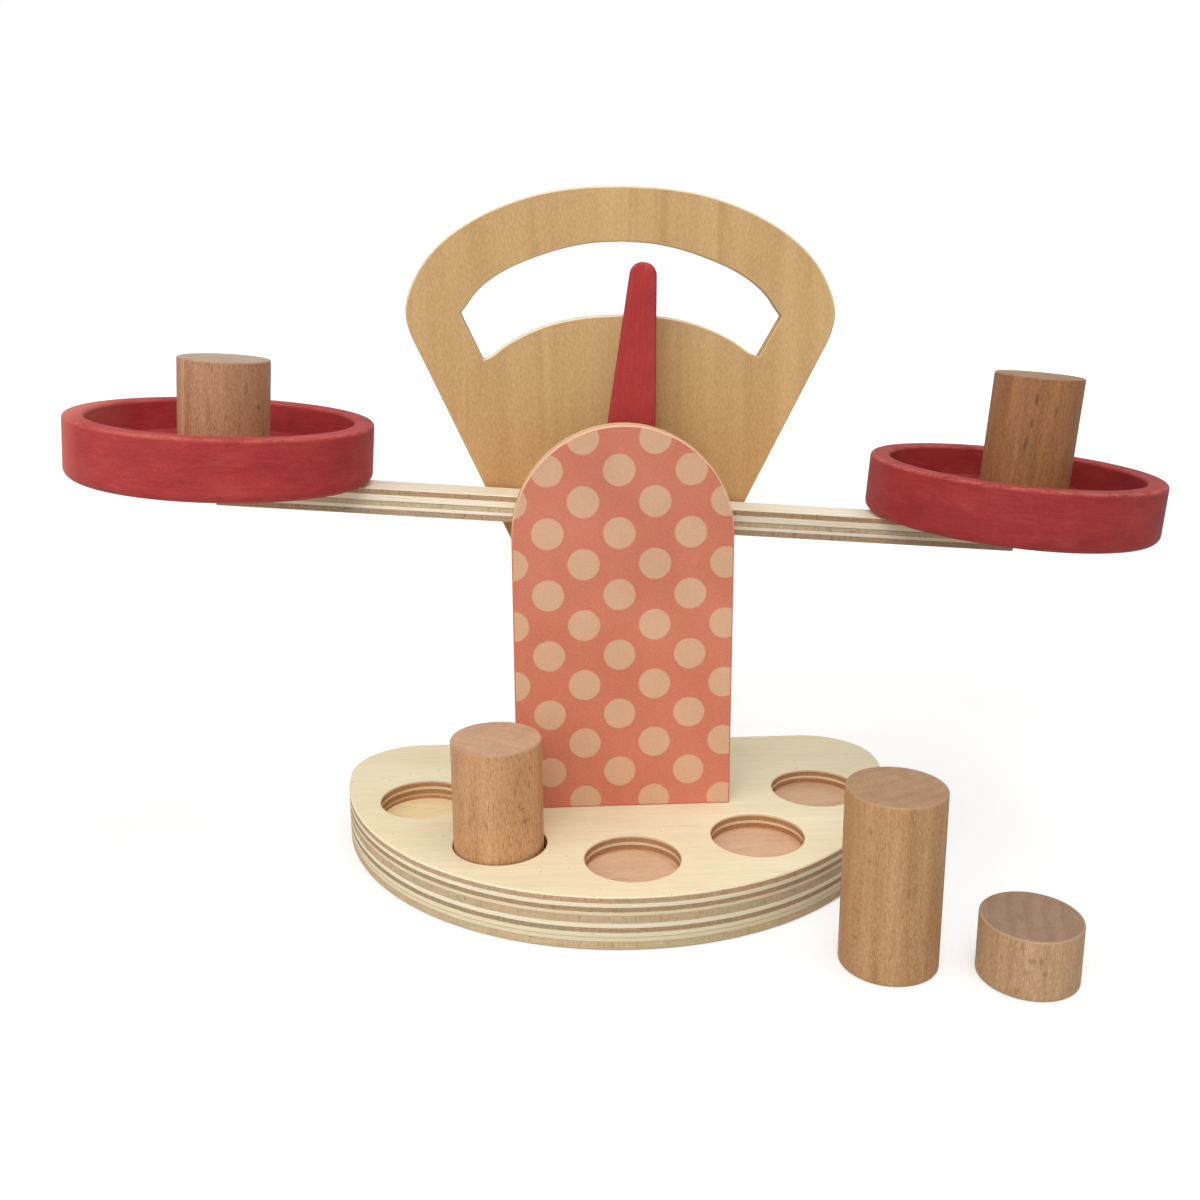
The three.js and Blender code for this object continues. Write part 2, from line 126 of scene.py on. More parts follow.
class Build:
    def __init__(self):
        self.v, self.f, self.m = [], [], []

    def ring(self, pts):
        i = len(self.v)
        self.v.extend(tuple(p) for p in pts)
        return list(range(i, i + len(pts)))

    def strip(self, a, b, m):
        n = len(a)
        for i in range(n):
            j = (i + 1) % n
            self.f.append((a[i], a[j], b[j], b[i]))
            self.m.append(m)

    def fan(self, a, p, m):
        c = len(self.v)
        self.v.append(tuple(p))
        for i in range(len(a)):
            self.f.append((a[i], a[(i + 1) % len(a)], c))
            self.m.append(m)

    def cap(self, parts, m):
        idx = [i for ring, _ in parts for i in ring]
        flats = [[Vector((x, y, 0)) for x, y in flat] for _, flat in parts]
        for t in tessellate_polygon(flats):
            self.f.append(tuple(idx[k] for k in t))
            self.m.append(m)

    def object(self, name, materials, matrix=None, sharp=32, weighted=True):
        me = bpy.data.meshes.new(name)
        place = matrix or Matrix.Identity(4)
        me.from_pydata([place @ (Vector(p) * MM) for p in self.v], [], self.f)
        for mat in materials:
            me.materials.append(mat)
        me.polygons.foreach_set("material_index", self.m)
        bm = bmesh.new()
        bm.from_mesh(me)
        bmesh.ops.remove_doubles(bm, verts=bm.verts, dist=1e-7)
        bmesh.ops.recalc_face_normals(bm, faces=bm.faces)
        bm.to_mesh(me)
        bm.free()
        me.shade_smooth()
        me.set_sharp_from_angle(angle=math.radians(sharp))
        ob = bpy.data.objects.new(name, me)
        bpy.context.scene.collection.objects.link(ob)
        if weighted:
            weigh(ob)
        return ob


def plate(name, outer, t0, t1, place, materials, holes=(), pockets0=(), pockets1=(),
          r0=0.5, r1=0.5, seg=3, faces=(0, 1, 2), matrix=None):
    """Board with rounded edges. Its outline lies in u, v and its thickness runs from t0 to t1.
    A pocket is (centre u, centre v, [(radius, depth), ...], wall material, floor material)."""
    b = Build()
    caps = ([], [])
    loops = [wound(outer, True)] + [wound(h, False) for h in holes]
    for loop in loops:
        rings = [(inset(loop, i), t0 + d) for i, d in rounding(r0, seg)]
        rings += [(inset(loop, i), t1 - d) for i, d in reversed(rounding(r1, seg))]
        idx = [b.ring([place(u, v, w) for u, v in flat]) for flat, w in rings]
        for a, c in zip(idx, idx[1:]):
            b.strip(a, c, faces[2])
        caps[0].append((idx[0], rings[0][0]))
        caps[1].append((idx[-1], rings[-1][0]))
    for side, pockets in ((0, pockets0), (1, pockets1)):
        base, sign = (t0, 1) if side == 0 else (t1, -1)
        for cu, cv, profile, wall, floor in pockets:
            n = 72 if profile[0][0] > 8 else 32
            flats = [(wound(circle(cu, cv, r, n), False), base + sign * d) for r, d in profile]
            idx = [b.ring([place(u, v, w) for u, v in flat]) for flat, w in flats]
            for a, c in zip(idx, idx[1:]):
                b.strip(a, c, wall)
            b.fan(idx[-1], place(cu, cv, flats[-1][1]), floor)
            caps[side].append((idx[0], flats[0][0]))
    b.cap(caps[0], faces[0])
    b.cap(caps[1], faces[1])
    return b.object(name, materials, matrix)


def turned(name, profile, materials, segments=96, matrix=None, sharp=32, wobble=0.0, seed=0):
    """Turned solid about Z. profile is [(radius, height, material of the band up to the next point)]."""
    b = Build()
    rnd = random.Random(seed)
    phase = [rnd.uniform(0, 6.28) for _ in range(3)]
    prev = None
    for i, (r, h, m) in enumerate(profile):
        if r == 0:
            here = None
        else:
            pts = []
            for k in range(segments):
                a = 2 * math.pi * k / segments
                rr = r - wobble * (0.5 + 0.5 * math.sin(2 * a + phase[0])) * (0.6 + 0.4 * math.sin(3 * a + phase[1] + h * 0.05))
                pts.append((rr * math.cos(a), rr * math.sin(a), h))
            here = b.ring(pts)
        if i:
            last_m = profile[i - 1][2]
            if prev is None:
                b.fan(here, (0, 0, profile[i - 1][1]), last_m)
            elif here is None:
                b.fan(prev, (0, 0, h), last_m)
            else:
                b.strip(prev, here, last_m)
        prev = here
    return b.object(name, materials, matrix, sharp)


def smooth(points, per=6):
    """Centripetal Catmull-Rom curve through the points."""
    pts = [Vector(p) for p in points]
    pts = [pts[0] * 2 - pts[1]] + pts + [pts[-1] * 2 - pts[-2]]
    out = []
    for i in range(1, len(pts) - 2):
        p0, p1, p2, p3 = pts[i - 1:i + 3]
        t0 = 0.0
        t1 = t0 + (p1 - p0).length ** 0.5
        t2 = t1 + (p2 - p1).length ** 0.5
        t3 = t2 + (p3 - p2).length ** 0.5
        for k in range(per):
            t = t1 + (t2 - t1) * k / per
            a1 = p0 * ((t1 - t) / (t1 - t0)) + p1 * ((t - t0) / (t1 - t0))
            a2 = p1 * ((t2 - t) / (t2 - t1)) + p2 * ((t - t1) / (t2 - t1))
            a3 = p2 * ((t3 - t) / (t3 - t2)) + p3 * ((t - t2) / (t3 - t2))
            b1 = a1 * ((t2 - t) / (t2 - t0)) + a2 * ((t - t0) / (t2 - t0))
            b2 = a2 * ((t3 - t) / (t3 - t1)) + a3 * ((t - t1) / (t3 - t1))
            out.append(tuple(b1 * ((t2 - t) / (t2 - t1)) + b2 * ((t - t1) / (t2 - t1))))
    out.append(tuple(pts[-2]))
    return out


def corner(a, b, c, r, steps=6):
    A, B, C = Vector(a), Vector(b), Vector(c)
    u, v = (A - B).normalized(), (C - B).normalized()
    half = math.acos(max(-1, min(1, u.dot(v)))) / 2
    t = r / math.tan(half)
    m = B + (u + v).normalized() * (r / math.sin(half))
    p, q = B + u * t - m, B + v * t - m
    turn = math.atan2(p.x * q.y - p.y * q.x, p.dot(q))
    out = []
    for i in range(steps + 1):
        s = turn * i / steps
        out.append((m.x + p.x * math.cos(s) - p.y * math.sin(s), m.y + p.x * math.sin(s) + p.y * math.cos(s)))
    return out


def arc(cx, cy, r, a0, a1, n):
    return [(cx + r * math.cos(math.radians(a0 + (a1 - a0) * i / n)),
             cy + r * math.sin(math.radians(a0 + (a1 - a0) * i / n))) for i in range(n + 1)]


def rounded_box(u0, u1, v0, v1, r, n=4):
    return (arc(u1 - r, v1 - r, r, 0, 90, n) + arc(u0 + r, v1 - r, r, 90, 180, n)
            + arc(u0 + r, v0 + r, r, 180, 270, n) + arc(u1 - r, v0 + r, r, 270, 360, n))


# ------------------------------------------------------------------- materials
def lin(c):
    return tuple((x / 12.92 if x <= 0.04045 else ((x + 0.055) / 1.055) ** 2.4) for x in (v / 255 for v in c)) + (1,)


def shade(c, k):
    return tuple(min(255, max(0, x * k)) for x in c)


class Mat:
    """Node material. Its texture space is the piece's own frame, in millimetres."""

    def __init__(self, name, rough=0.6, spec=0.35, place=None):
        self.m = bpy.data.materials.new(name)
        self.m.use_nodes = True
        self.nt = self.m.node_tree
        self.nt.nodes.clear()
        self.out = self.nt.nodes.new("ShaderNodeOutputMaterial")
        self.b = self.nt.nodes.new("ShaderNodeBsdfPrincipled")
        self.b.inputs["Roughness"].default_value = rough
        self.b.inputs["Specular IOR Level"].default_value = spec
        self.link(self.b.outputs[0], self.out.inputs[0])
        self.inverse = (place or Matrix.Identity(4)).inverted()

    def link(self, a, b):
        self.nt.links.new(a, b)

    def put(self, socket, value):
        if isinstance(value, bpy.types.NodeSocket):
            self.link(value, socket)
        else:
            socket.default_value = value

    def coord(self, seed=0):
        t = self.nt.nodes.new("ShaderNodeTexCoord")
        rnd = random.Random(seed)
        off = Vector([rnd.uniform(-400, 400) for _ in range(3)]) if seed else Vector((0, 0, 0))
        loc = self.inverse.translation / MM + off
        rot = self.inverse.to_euler("XYZ")
        return self.map(t.outputs["Object"], (1 / MM,) * 3, tuple(loc), tuple(rot))

    def map(self, v, scale=(1, 1, 1), loc=(0, 0, 0), rot=(0, 0, 0)):
        n = self.nt.nodes.new("ShaderNodeMapping")
        self.link(v, n.inputs["Vector"])
        n.inputs["Scale"].default_value = scale
        n.inputs["Location"].default_value = loc
        n.inputs["Rotation"].default_value = rot
        return n.outputs[0]

    def noise(self, v, detail=2.0, rough=0.5, dist=0.0):
        n = self.nt.nodes.new("ShaderNodeTexNoise")
        self.link(v, n.inputs["Vector"])
        n.inputs["Scale"].default_value = 1.0
        n.inputs["Detail"].default_value = detail
        n.inputs["Roughness"].default_value = rough
        n.inputs["Distortion"].default_value = dist
        return n.outputs["Fac"]

    def math(self, op, a, b=0.0, c=None, clamp=False):
        n = self.nt.nodes.new("ShaderNodeMath")
        n.operation = op
        n.use_clamp = clamp
        self.put(n.inputs[0], a)
        self.put(n.inputs[1], b)
        if c is not None:
            self.put(n.inputs[2], c)
        return n.outputs[0]

    def add(self, *terms):
        out = terms[0]
        for t in terms[1:]:
            out = self.math("ADD", out, t)
        return out

    def mul(self, a, b):
        return self.math("MULTIPLY", a, b)

    def around(self, n, gain):
        """A noise value moved to swing about zero."""
        return self.math("MULTIPLY_ADD", n, gain, -0.5 * gain)

    def sep(self, v):
        n = self.nt.nodes.new("ShaderNodeSeparateXYZ")
        self.link(v, n.inputs[0])
        return n.outputs

    def comb(self, x, y, z):
        n = self.nt.nodes.new("ShaderNodeCombineXYZ")
        for i, a in enumerate((x, y, z)):
            self.put(n.inputs[i], a)
        return n.outputs[0]

    def step(self, x, lo, hi):
        n = self.nt.nodes.new("ShaderNodeMapRange")
        n.interpolation_type = "SMOOTHSTEP"
        self.put(n.inputs[0], x)
        n.inputs[1].default_value, n.inputs[2].default_value = lo, hi
        n.inputs[3].default_value, n.inputs[4].default_value = 0.0, 1.0
        return n.outputs[0]

    def below(self, x, lo, hi):
        n = self.nt.nodes.new("ShaderNodeMapRange")
        n.interpolation_type = "SMOOTHSTEP"
        self.put(n.inputs[0], x)
        n.inputs[1].default_value, n.inputs[2].default_value = lo, hi
        n.inputs[3].default_value, n.inputs[4].default_value = 1.0, 0.0
        return n.outputs[0]

    def ramp(self, fac, stops, interp="LINEAR"):
        n = self.nt.nodes.new("ShaderNodeValToRGB")
        n.color_ramp.interpolation = interp
        e = n.color_ramp.elements
        while len(e) > 1:
            e.remove(e[-1])
        for i, (p, c) in enumerate(stops):
            el = e[0] if i == 0 else e.new(p)
            el.position = p
            el.color = c
        self.put(n.inputs[0], fac)
        return n.outputs[0]

    def mix(self, fac, a, b, mode="MIX"):
        n = self.nt.nodes.new("ShaderNodeMix")
        n.data_type = "RGBA"
        n.blend_type = mode
        n.clamp_result = False
        self.put(n.inputs[0], fac)
        self.put(n.inputs[6], a)
        self.put(n.inputs[7], b)
        return n.outputs[2]

    def gain(self, colour, k):
        return self.mix(1.0, colour, self.comb(k, k, k), "MULTIPLY")

    def finish(self, colour, rough=None, height=None, strength=0.3, distance=0.0002):
        self.put(self.b.inputs["Base Color"], colour)
        if rough is not None:
            self.put(self.b.inputs["Roughness"], rough)
        if height is not None:
            n = self.nt.nodes.new("ShaderNodeBump")
            n.inputs["Strength"].default_value = strength
            n.inputs["Distance"].default_value = distance
            self.link(height, n.inputs["Height"])
            self.link(n.outputs[0], self.b.inputs["Normal"])
        return self.m


AXES = {"x": (1, 0, 0), "y": (0, 1, 0), "z": (0, 0, 1)}


def grain(axis, across, along):
    """Scale that stretches a texture along the grain."""
    a = AXES[axis]
    return tuple(along if a[i] else across for i in range(3))


def veneer(name, light, mid, dark, axis, seed, broad=(0.045, 0.008), streak=(0.55, 0.012),
           fibre=(4.0, 0.12), weights=(0.5, 0.3, 0.2), swing=0.17, flecks=(), speck=None,
           rough=0.6, spec=0.3, bump=0.22, sway=6.0, tint=None, lines=None, place=None):
    """Veneer: broad tone bands, streaks along the grain, fine fibres, pores and specks."""
    M = Mat(name, rough, spec, place)
    v = M.coord(seed)
    warp = M.around(M.noise(M.map(v, grain(axis, 0.03, 0.012)), 1), sway)
    xyz = M.sep(v)
    shifted = M.comb(*(xyz[i] if AXES[axis][i] else M.math("ADD", xyz[i], warp) for i in range(3)))
    a = M.noise(M.map(shifted, grain(axis, *broad)), 3, 0.55)
    b = M.noise(M.map(shifted, grain(axis, *streak)), 5, 0.6)
    c = M.noise(M.map(v, grain(axis, *fibre)), 3, 0.6)
    t = M.add(M.mul(a, weights[0]), M.mul(b, weights[1]), M.mul(c, weights[2]))
    w = swing
    col = M.ramp(t, [(0.5 - w, lin(dark)), (0.5, lin(mid)), (0.5 + w, lin(light))])
    if tint:
        # slow drift of hue from one side of the sheet to the other
        colour, i, lo, hi, amount = tint
        n = M.around(M.noise(M.map(v, (0.02, 0.02, 0.02), (3, 3, 3)), 2), 0.9 * abs(hi - lo))
        col = M.mix(M.mul(M.step(M.math("ADD", M.sep(M.coord(0))[i], n), lo, hi), amount), col, lin(colour), "MULTIPLY")
    if lines:
        colour, across, along, lo, hi, amount = lines
        f = M.noise(M.map(shifted, grain(axis, across, along), (61.0, 23.0, 7.0)), 2, 0.4)
        col = M.mix(M.mul(M.step(f, lo, hi), amount), col, lin(colour))
    dents = None
    for k, (colour, across, along, lo, hi, amount) in enumerate(flecks):
        f = M.noise(M.map(v, grain(axis, across, along), (17.0 * k, 5.0 * k, 9.0 * k)), 2, 0.45)
        f = M.step(f, lo, hi)
        col = M.mix(M.mul(f, amount), col, lin(colour))
        dents = f if dents is None else M.math("MAXIMUM", dents, f)
    if speck:
        colour, freq, lo, hi, amount = speck
        f = M.noise(M.map(v, (freq, freq, freq)), 1)
        col = M.mix(M.mul(M.step(f, lo, hi), amount), col, lin(colour))
    r = M.math("MULTIPLY_ADD", b, 0.16, rough - 0.08)
    h = M.add(M.mul(c, 0.7), M.mul(b, 0.5))
    if dents is not None:
        h = M.math("SUBTRACT", h, M.mul(dents, 0.4))
    return M.finish(col, r, h, bump, 0.00012)


def ply_edge(name, axis, size, layers, seed, low=0.0, wave=0.2, dashes=1.0, right_darkening=None, ragged=0.16, coat=None, lip=None, painted_shade_right=None, place=None):
    """Sawn plywood edge. layers run from the high side down: (thickness mm, colour, kind), kind 'l' for a
    ply seen along its grain and 'e' for one seen end on, whose cut fibres show as short upright dashes."""
    M = Mat(name, 0.72, 0.2, place)
    v = M.coord(0)
    s = M.coord(seed)
    x = M.sep(v)[{"x": 0, "y": 1, "z": 2}[axis]]
    flat = {"x": (0, 1, 1), "y": (1, 0, 1), "z": (1, 1, 0)}[axis]
    mixed = lambda f, g: tuple(f * a + g * (1 - a) for a in flat)
    n1 = M.noise(M.map(s, tuple(0.03 * f for f in flat)), 2)
    n2 = M.noise(M.map(s, mixed(0.7, 0.25)), 2)
    n3 = M.noise(M.map(s, (2.2, 2.2, 2.2)), 3, 0.6)
    off = M.add(M.around(n1, wave * 3), M.around(n2, wave), M.around(n3, ragged))
    t = M.math("DIVIDE", M.math("SUBTRACT", M.math("ADD", x, off), low), size)
    edges, z = [], size
    for thick, colour, kind in layers:
        edges.append((z - thick, z, colour, kind))
        z -= thick
    edges = edges[::-1]
    soft = 0.06 / size
    stops, kinds = [], []
    for i, (lo, hi, colour, kind) in enumerate(edges):
        p = max(0.0, lo / size)
        k = (1, 1, 1, 1) if kind == "e" else (0, 0, 0, 1)
        at = 0.0 if i == 0 else p + soft
        stops.append((at, lin(colour)))
        kinds.append((at, k))
        if i < len(edges) - 1:
            q = hi / size
            stops.append((q - soft, lin(colour)))
            kinds.append((q - soft, k))
    col = M.ramp(t, stops)
    kind = M.ramp(t, kinds)
    # slow drift of tone along each ply, different from ply to ply
    d1 = M.noise(M.map(s, mixed(0.045, 0.62)), 2, 0.5)
    d2 = M.noise(M.map(s, mixed(0.22, 0.8), (40, 11, 3)), 2, 0.55)
    pinkish = M.mix(1.0, col, (1.06, 0.94, 0.90, 1), "MULTIPLY")
    greyish = M.mix(1.0, col, (0.94, 0.985, 0.97, 1), "MULTIPLY")
    cut_col = M.mix(M.step(d1, 0.38, 0.62), greyish, pinkish)
    col = M.mix(kind, col, cut_col)
    # cut fibres: upright dashes about a ply high; long plies: streaks along the edge
    e1 = M.noise(M.map(s, mixed(1.7, 0.28)), 3, 0.62)
    e2 = M.noise(M.map(s, mixed(4.2, 0.9)), 2, 0.5)
    l1 = M.noise(M.map(s, mixed(0.10, 4.5)), 4, 0.6)
    dark = M.mul(M.step(M.noise(M.map(s, mixed(0.95, 0.30), (3, 60, 8)), 2, 0.6), 0.56, 0.70), 0.20 * dashes)
    pale = M.mul(M.step(M.noise(M.map(s, mixed(1.9, 0.45), (71, 6, 2)), 2, 0.6), 0.60, 0.74), 0.22 * dashes)
    gain_e = M.add(M.math("ADD", 0.995, M.around(e1, 0.46)), M.around(e2, 0.16), M.around(d2, 0.34))
    gain_e = M.add(M.math("SUBTRACT", gain_e, dark), pale)
    gain_l = M.math("ADD", 1.0, M.add(M.around(l1, 0.20), M.around(d2, 0.10)))
    gain = M.add(M.mul(kind, gain_e), M.mul(M.math("SUBTRACT", 1.0, kind), gain_l))
    col = M.gain(col, gain)
    # darker and greyer towards the right (+x)
    if right_darkening:
        colour, lo, hi, amount = right_darkening
        col = M.mix(M.mul(M.step(M.sep(v)[0], lo, hi), amount), col, lin(colour), "MULTIPLY")
    spots = M.step(M.noise(M.map(s, (0.75, 0.75, 1.3), (9, 33, 71)), 1), 0.75, 0.80)
    col = M.mix(M.mul(spots, 0.4), col, lin((128, 98, 70)))
    if coat:
        # the face's print runs over the rounded arris in front, below a height
        colour, front, hi = coat
        o = M.sep(v)
        over = M.mul(M.below(M.math("ADD", o[1], M.around(n3, 0.3)), front, front + 0.25), M.below(o[2], hi, hi + 22))
        col = M.mix(over, col, lin(colour))
    if lip:
        # painted highlight: a pale band on the window's lower curve, which faces up to the light
        colour, half, lo, hi = lip
        o = M.sep(v)
        across = M.below(M.math("ABSOLUTE", o[0], 0.0), half, half + 1.5)
        here = M.mul(across, M.mul(M.step(o[2], lo, lo + 0.8), M.below(o[2], hi, hi + 1.0)))
        col = M.mix(M.mul(here, 0.8), col, lin(colour))
        # and a painted highlight round the upper part of the head's outline
        u, w = M.math("DIVIDE", o[0], 66.0), M.math("DIVIDE", M.math("SUBTRACT", o[2], 180.0), 40.0)
        rim = M.mul(M.step(M.add(M.mul(u, u), M.mul(w, w)), 1.02, 1.12), M.step(o[2], 184, 196))
        col = M.mix(M.mul(rim, 0.6), col, lin(colour))
    if painted_shade_right:
        # painted shade: the edge darkens towards the right, where the tall weight shades it
        amount, lo, hi = painted_shade_right
        col = M.mix(M.mul(M.step(M.sep(v)[0], lo, hi), amount), col, lin((120, 98, 72)))
    h = M.add(M.mul(gain, 0.8), M.mul(n3, 0.35), M.mul(kind, -0.25))
    return M.finish(col, M.math("MULTIPLY_ADD", e1, 0.14, 0.66), h, 0.5, 0.00018)


def beech_side(name, light, mid, dark, seed, height, spots, bits, place, flecks=(118, 78, 50)):
    """Long grain of a beech rod: soft upright bands, short dark ray flecks and a few large marks; a mark with a
    negative amount is a pale stripe, a painted highlight.
    """
    M = Mat(name, 0.5, 0.38, place)
    o = M.sep(M.coord(0))
    v = M.coord(seed)
    a = M.noise(M.map(v, grain("z", 0.20, 0.012)), 2)
    b = M.noise(M.map(v, grain("z", 0.8, 0.06)), 3, 0.6)
    c = M.noise(M.map(v, grain("z", 3.2, 0.85)), 3, 0.62)
    t = M.add(M.mul(a, 0.28), M.mul(b, 0.20), M.mul(c, 0.52))
    col = M.ramp(t, [(0.375, lin(dark)), (0.5, lin(mid)), (0.625, lin(light))])
    f1 = M.noise(M.map(v, grain("z", 1.9, 0.30)), 2, 0.4)
    f2 = M.noise(M.map(v, grain("z", 2.9, 0.50), (31, 17, 5)), 1, 0.4)
    m1, m2 = M.step(f1, 0.66 - 0.05 * bits, 0.77 - 0.05 * bits), M.step(f2, 0.60, 0.74)
    col = M.mix(M.mul(m2, 0.14 + 0.12 * bits), col, lin(flecks))
    col = M.mix(M.mul(m1, 0.32 + 0.10 * bits), col, lin(flecks))
    # paler silvery flecks
    f3 = M.noise(M.map(v, grain("z", 1.8, 0.22), (7, 3, 90)), 1)
    col = M.mix(M.mul(M.step(f3, 0.62, 0.74), 0.28), col, lin(shade(light, 1.09)))
    # large marks: (angle degrees, height, half width, half height, amount); a negative amount paints a pale stripe, a
    # painted highlight
    ang = M.math("ARCTAN2", o[1], o[0])
    edge = M.around(M.noise(M.map(v, (1.1, 1.1, 0.8)), 2), 0.9)
    for a0, z0, hw, hh, amount in spots:
        du = M.math("DIVIDE", M.mul(M.math("SUBTRACT", ang, math.radians(a0)), WEIGHT_R), hw)
        dv = M.math("DIVIDE", M.math("SUBTRACT", o[2], z0), hh)
        d = M.math("SQRT", M.add(M.mul(du, du), M.mul(dv, dv)))
        # a negative amount is a painted highlight, a pale stripe on the lit side
        mark = shade(light, 1.16) if amount < 0 else shade(dark, 0.80)
        col = M.mix(M.mul(M.below(M.math("ADD", d, edge), 0.45, 1.25), abs(amount)), col, lin(mark))
    # rubbed, paler top edge, and patchy darkening towards the foot
    n = M.noise(M.map(v, (0.35, 0.35, 0.35)), 3, 0.6)
    rub = M.mul(M.step(o[2], height - 0.8, height - 0.3), M.step(n, 0.30, 0.62))
    col = M.mix(M.mul(rub, 0.85), col, lin(tuple(0.5 * a + 0.5 * b for a, b in zip(mid, (160, 138, 122)))))
    foot_darkening = M.mul(M.below(o[2], 0.2, 1.6), M.step(n, 0.35, 0.7))
    col = M.mix(M.mul(foot_darkening, 0.30), col, lin(shade(dark, 0.82)))
    r = M.math("MULTIPLY_ADD", b, 0.2, 0.42)
    h = M.math("SUBTRACT", c, M.math("MULTIPLY", M.math("MAXIMUM", m1, M.mul(m2, 0.6)), 0.7))
    return M.finish(col, r, h, 0.3, 0.00012)


def beech_end(name, light, mid, dark, seed, pith, pitch, lines, place):
    """End grain: soft growth bands, fine pores and faint rays running out from the pith."""
    M = Mat(name, 0.62, 0.26, place)
    o = M.sep(M.coord(0))
    s = M.coord(seed)
    n = M.noise(M.map(s, (0.07, 0.07, 0.02)), 2)
    dx, dy = M.math("SUBTRACT", o[0], pith[0]), M.math("SUBTRACT", o[1], pith[1])
    d = M.math("SQRT", M.add(M.mul(dx, dx), M.mul(dy, dy)))
    dw = M.math("ADD", d, M.around(n, 2.6))
    ring = M.math("FRACT", M.math("DIVIDE", dw, pitch))
    line = M.mul(M.step(ring, 0.20, 0.86), M.below(ring, 0.88, 1.0))
    fine = M.noise(M.map(s, (2.6, 2.6, 0.4)), 4, 0.6)
    mot = M.noise(M.map(s, (0.16, 0.16, 0.05)), 3)
    t = M.add(M.mul(fine, 0.66), M.mul(mot, 0.34))
    col = M.ramp(t, [(0.36, lin(dark)), (0.5, lin(mid)), (0.64, lin(light))])
    col = M.mix(M.mul(line, lines), col, lin(shade(dark, 0.86)))
    ang = M.math("ARCTAN2", dy, dx)
    rays = M.noise(M.comb(M.mul(ang, 60.0), M.mul(d, 0.22), 0.0), 2)
    col = M.mix(M.mul(M.step(rays, 0.55, 0.72), 0.16), col, lin(light))
    pores = M.step(M.noise(M.map(s, (3.4, 3.4, 0.5), (5, 5, 5)), 1), 0.66, 0.76)
    col = M.mix(M.mul(pores, 0.20), col, lin(shade(dark, 0.8)))
    h = M.add(fine, M.mul(line, -0.3), M.mul(pores, -0.5))
    return M.finish(col, M.math("MULTIPLY_ADD", fine, 0.18, 0.54), h, 0.25, 0.0001)


def red_stain(name, base, deep, pale, seed, place, wear_and_highlight, fibres, cloud=1.0):
    """Thin matte stain: faintly cloudy, with the grain just showing, and paler where it is rubbed and where the
    passed-in mask paints a highlight.
    """
    M = Mat(name, 0.6, 0.24, place)
    M.b.inputs["Sheen Weight"].default_value = 0.02
    M.b.inputs["Sheen Roughness"].default_value = 0.5
    M.b.inputs["Sheen Tint"].default_value = (1.0, 0.72, 0.66, 1)
    v0 = M.coord(0)
    v = M.coord(seed)
    m = M.noise(M.map(v, (0.04, 0.04, 0.08)), 2, 0.5)
    k = M.noise(M.map(v, (0.13, 0.13, 0.20), (9, 2, 4)), 3, 0.55)
    b = M.noise(M.map(v, fibres), 4, 0.6)
    c = M.noise(M.map(v, (1.9, 1.9, 1.9)), 4, 0.65)
    t = M.add(M.mul(m, 0.34 * cloud), M.mul(k, 0.12 * cloud), M.mul(b, 0.24), M.mul(c, 0.30), 0.23 - 0.23 * cloud)
    col = M.ramp(t, [(0.36, lin(deep)), (0.5, lin(base)), (0.64, lin(pale))])
    # small dark pores
    p = M.step(M.noise(M.map(v, tuple(1.5 * f / max(fibres) + 0.5 for f in fibres), (3, 8, 1)), 2, 0.5), 0.66, 0.76)
    col = M.mix(M.mul(p, 0.28), col, lin(shade(deep, 0.66)))
    # one pale colour for rubbed wear and, on the left pan, for the painted highlight
    col = M.mix(wear_and_highlight(M, v0, v), col, lin((210, 114, 101)))
    h = M.add(M.mul(c, 0.5), M.mul(b, 0.7), M.mul(p, -0.5))
    return M.finish(col, M.math("MULTIPLY_ADD", k, 0.22, 0.50), h, 0.24, 0.00012)


def pan_wear_and_highlight(M, v0, v, left_highlight=0.0):
    """Rubbed rim: strongest on the rim's two rounded edges, weaker on its flat and on the foot's edge.
    The last argument adds a painted highlight: a paler wall at the pan's outer left, where the light from the left
    falls."""
    o = M.sep(v0)
    r = M.math("SQRT", M.add(M.mul(o[0], o[0]), M.mul(o[1], o[1])))
    top = M.step(o[2], PAN_H - 1.7, PAN_H - 0.3)
    outer = M.step(r, PAN_R - 2.0, PAN_R - 0.4)
    inner = M.below(r, PAN_R - PAN_RIM + 0.2, PAN_R - PAN_RIM + 1.5)
    edge = M.mul(top, M.math("MAXIMUM", outer, M.mul(inner, 0.7)))
    foot = M.mul(M.below(o[2], 0.3, 3.2), M.step(r, PAN_R - 3, PAN_R - 0.8))
    n = M.noise(M.map(v, (0.16, 0.16, 0.6)), 4, 0.65)
    f = M.noise(M.map(v, (0.9, 0.9, 0.9)), 3, 0.65)
    patchy = M.add(M.mul(n, 0.7), M.mul(f, 0.3))
    worn = M.mul(M.math("MAXIMUM", edge, M.mul(foot, 0.30)), M.step(patchy, 0.34, 0.64))
    flat = M.mul(M.mul(top, 0.16), M.step(patchy, 0.38, 0.66))
    side = M.mul(M.step(M.noise(M.map(v, (0.05, 0.05, 0.12), (7, 1, 90)), 3, 0.6), 0.54, 0.74), 0.12)
    # painted highlight: the wall's outer left is paled where the light from the left falls
    if left_highlight:
        side = M.math("ADD", side, M.mul(M.below(o[0], -50.0, -34.0), left_highlight))
    return M.math("MAXIMUM", M.math("MAXIMUM", M.mul(worn, 0.52), flat), side)


def pointer_wear(M, v0, v):
    """Faint rubbing on the round tip and in patches along the blade."""
    o = M.sep(v0)
    tip = M.mul(M.step(o[2], TIP_TOP - 3.0, TIP_TOP), 0.55)
    n = M.noise(M.map(v, (0.5, 0.5, 0.14)), 4, 0.65)
    return M.mul(M.math("MAXIMUM", tip, 0.07), M.step(n, 0.46, 0.72))


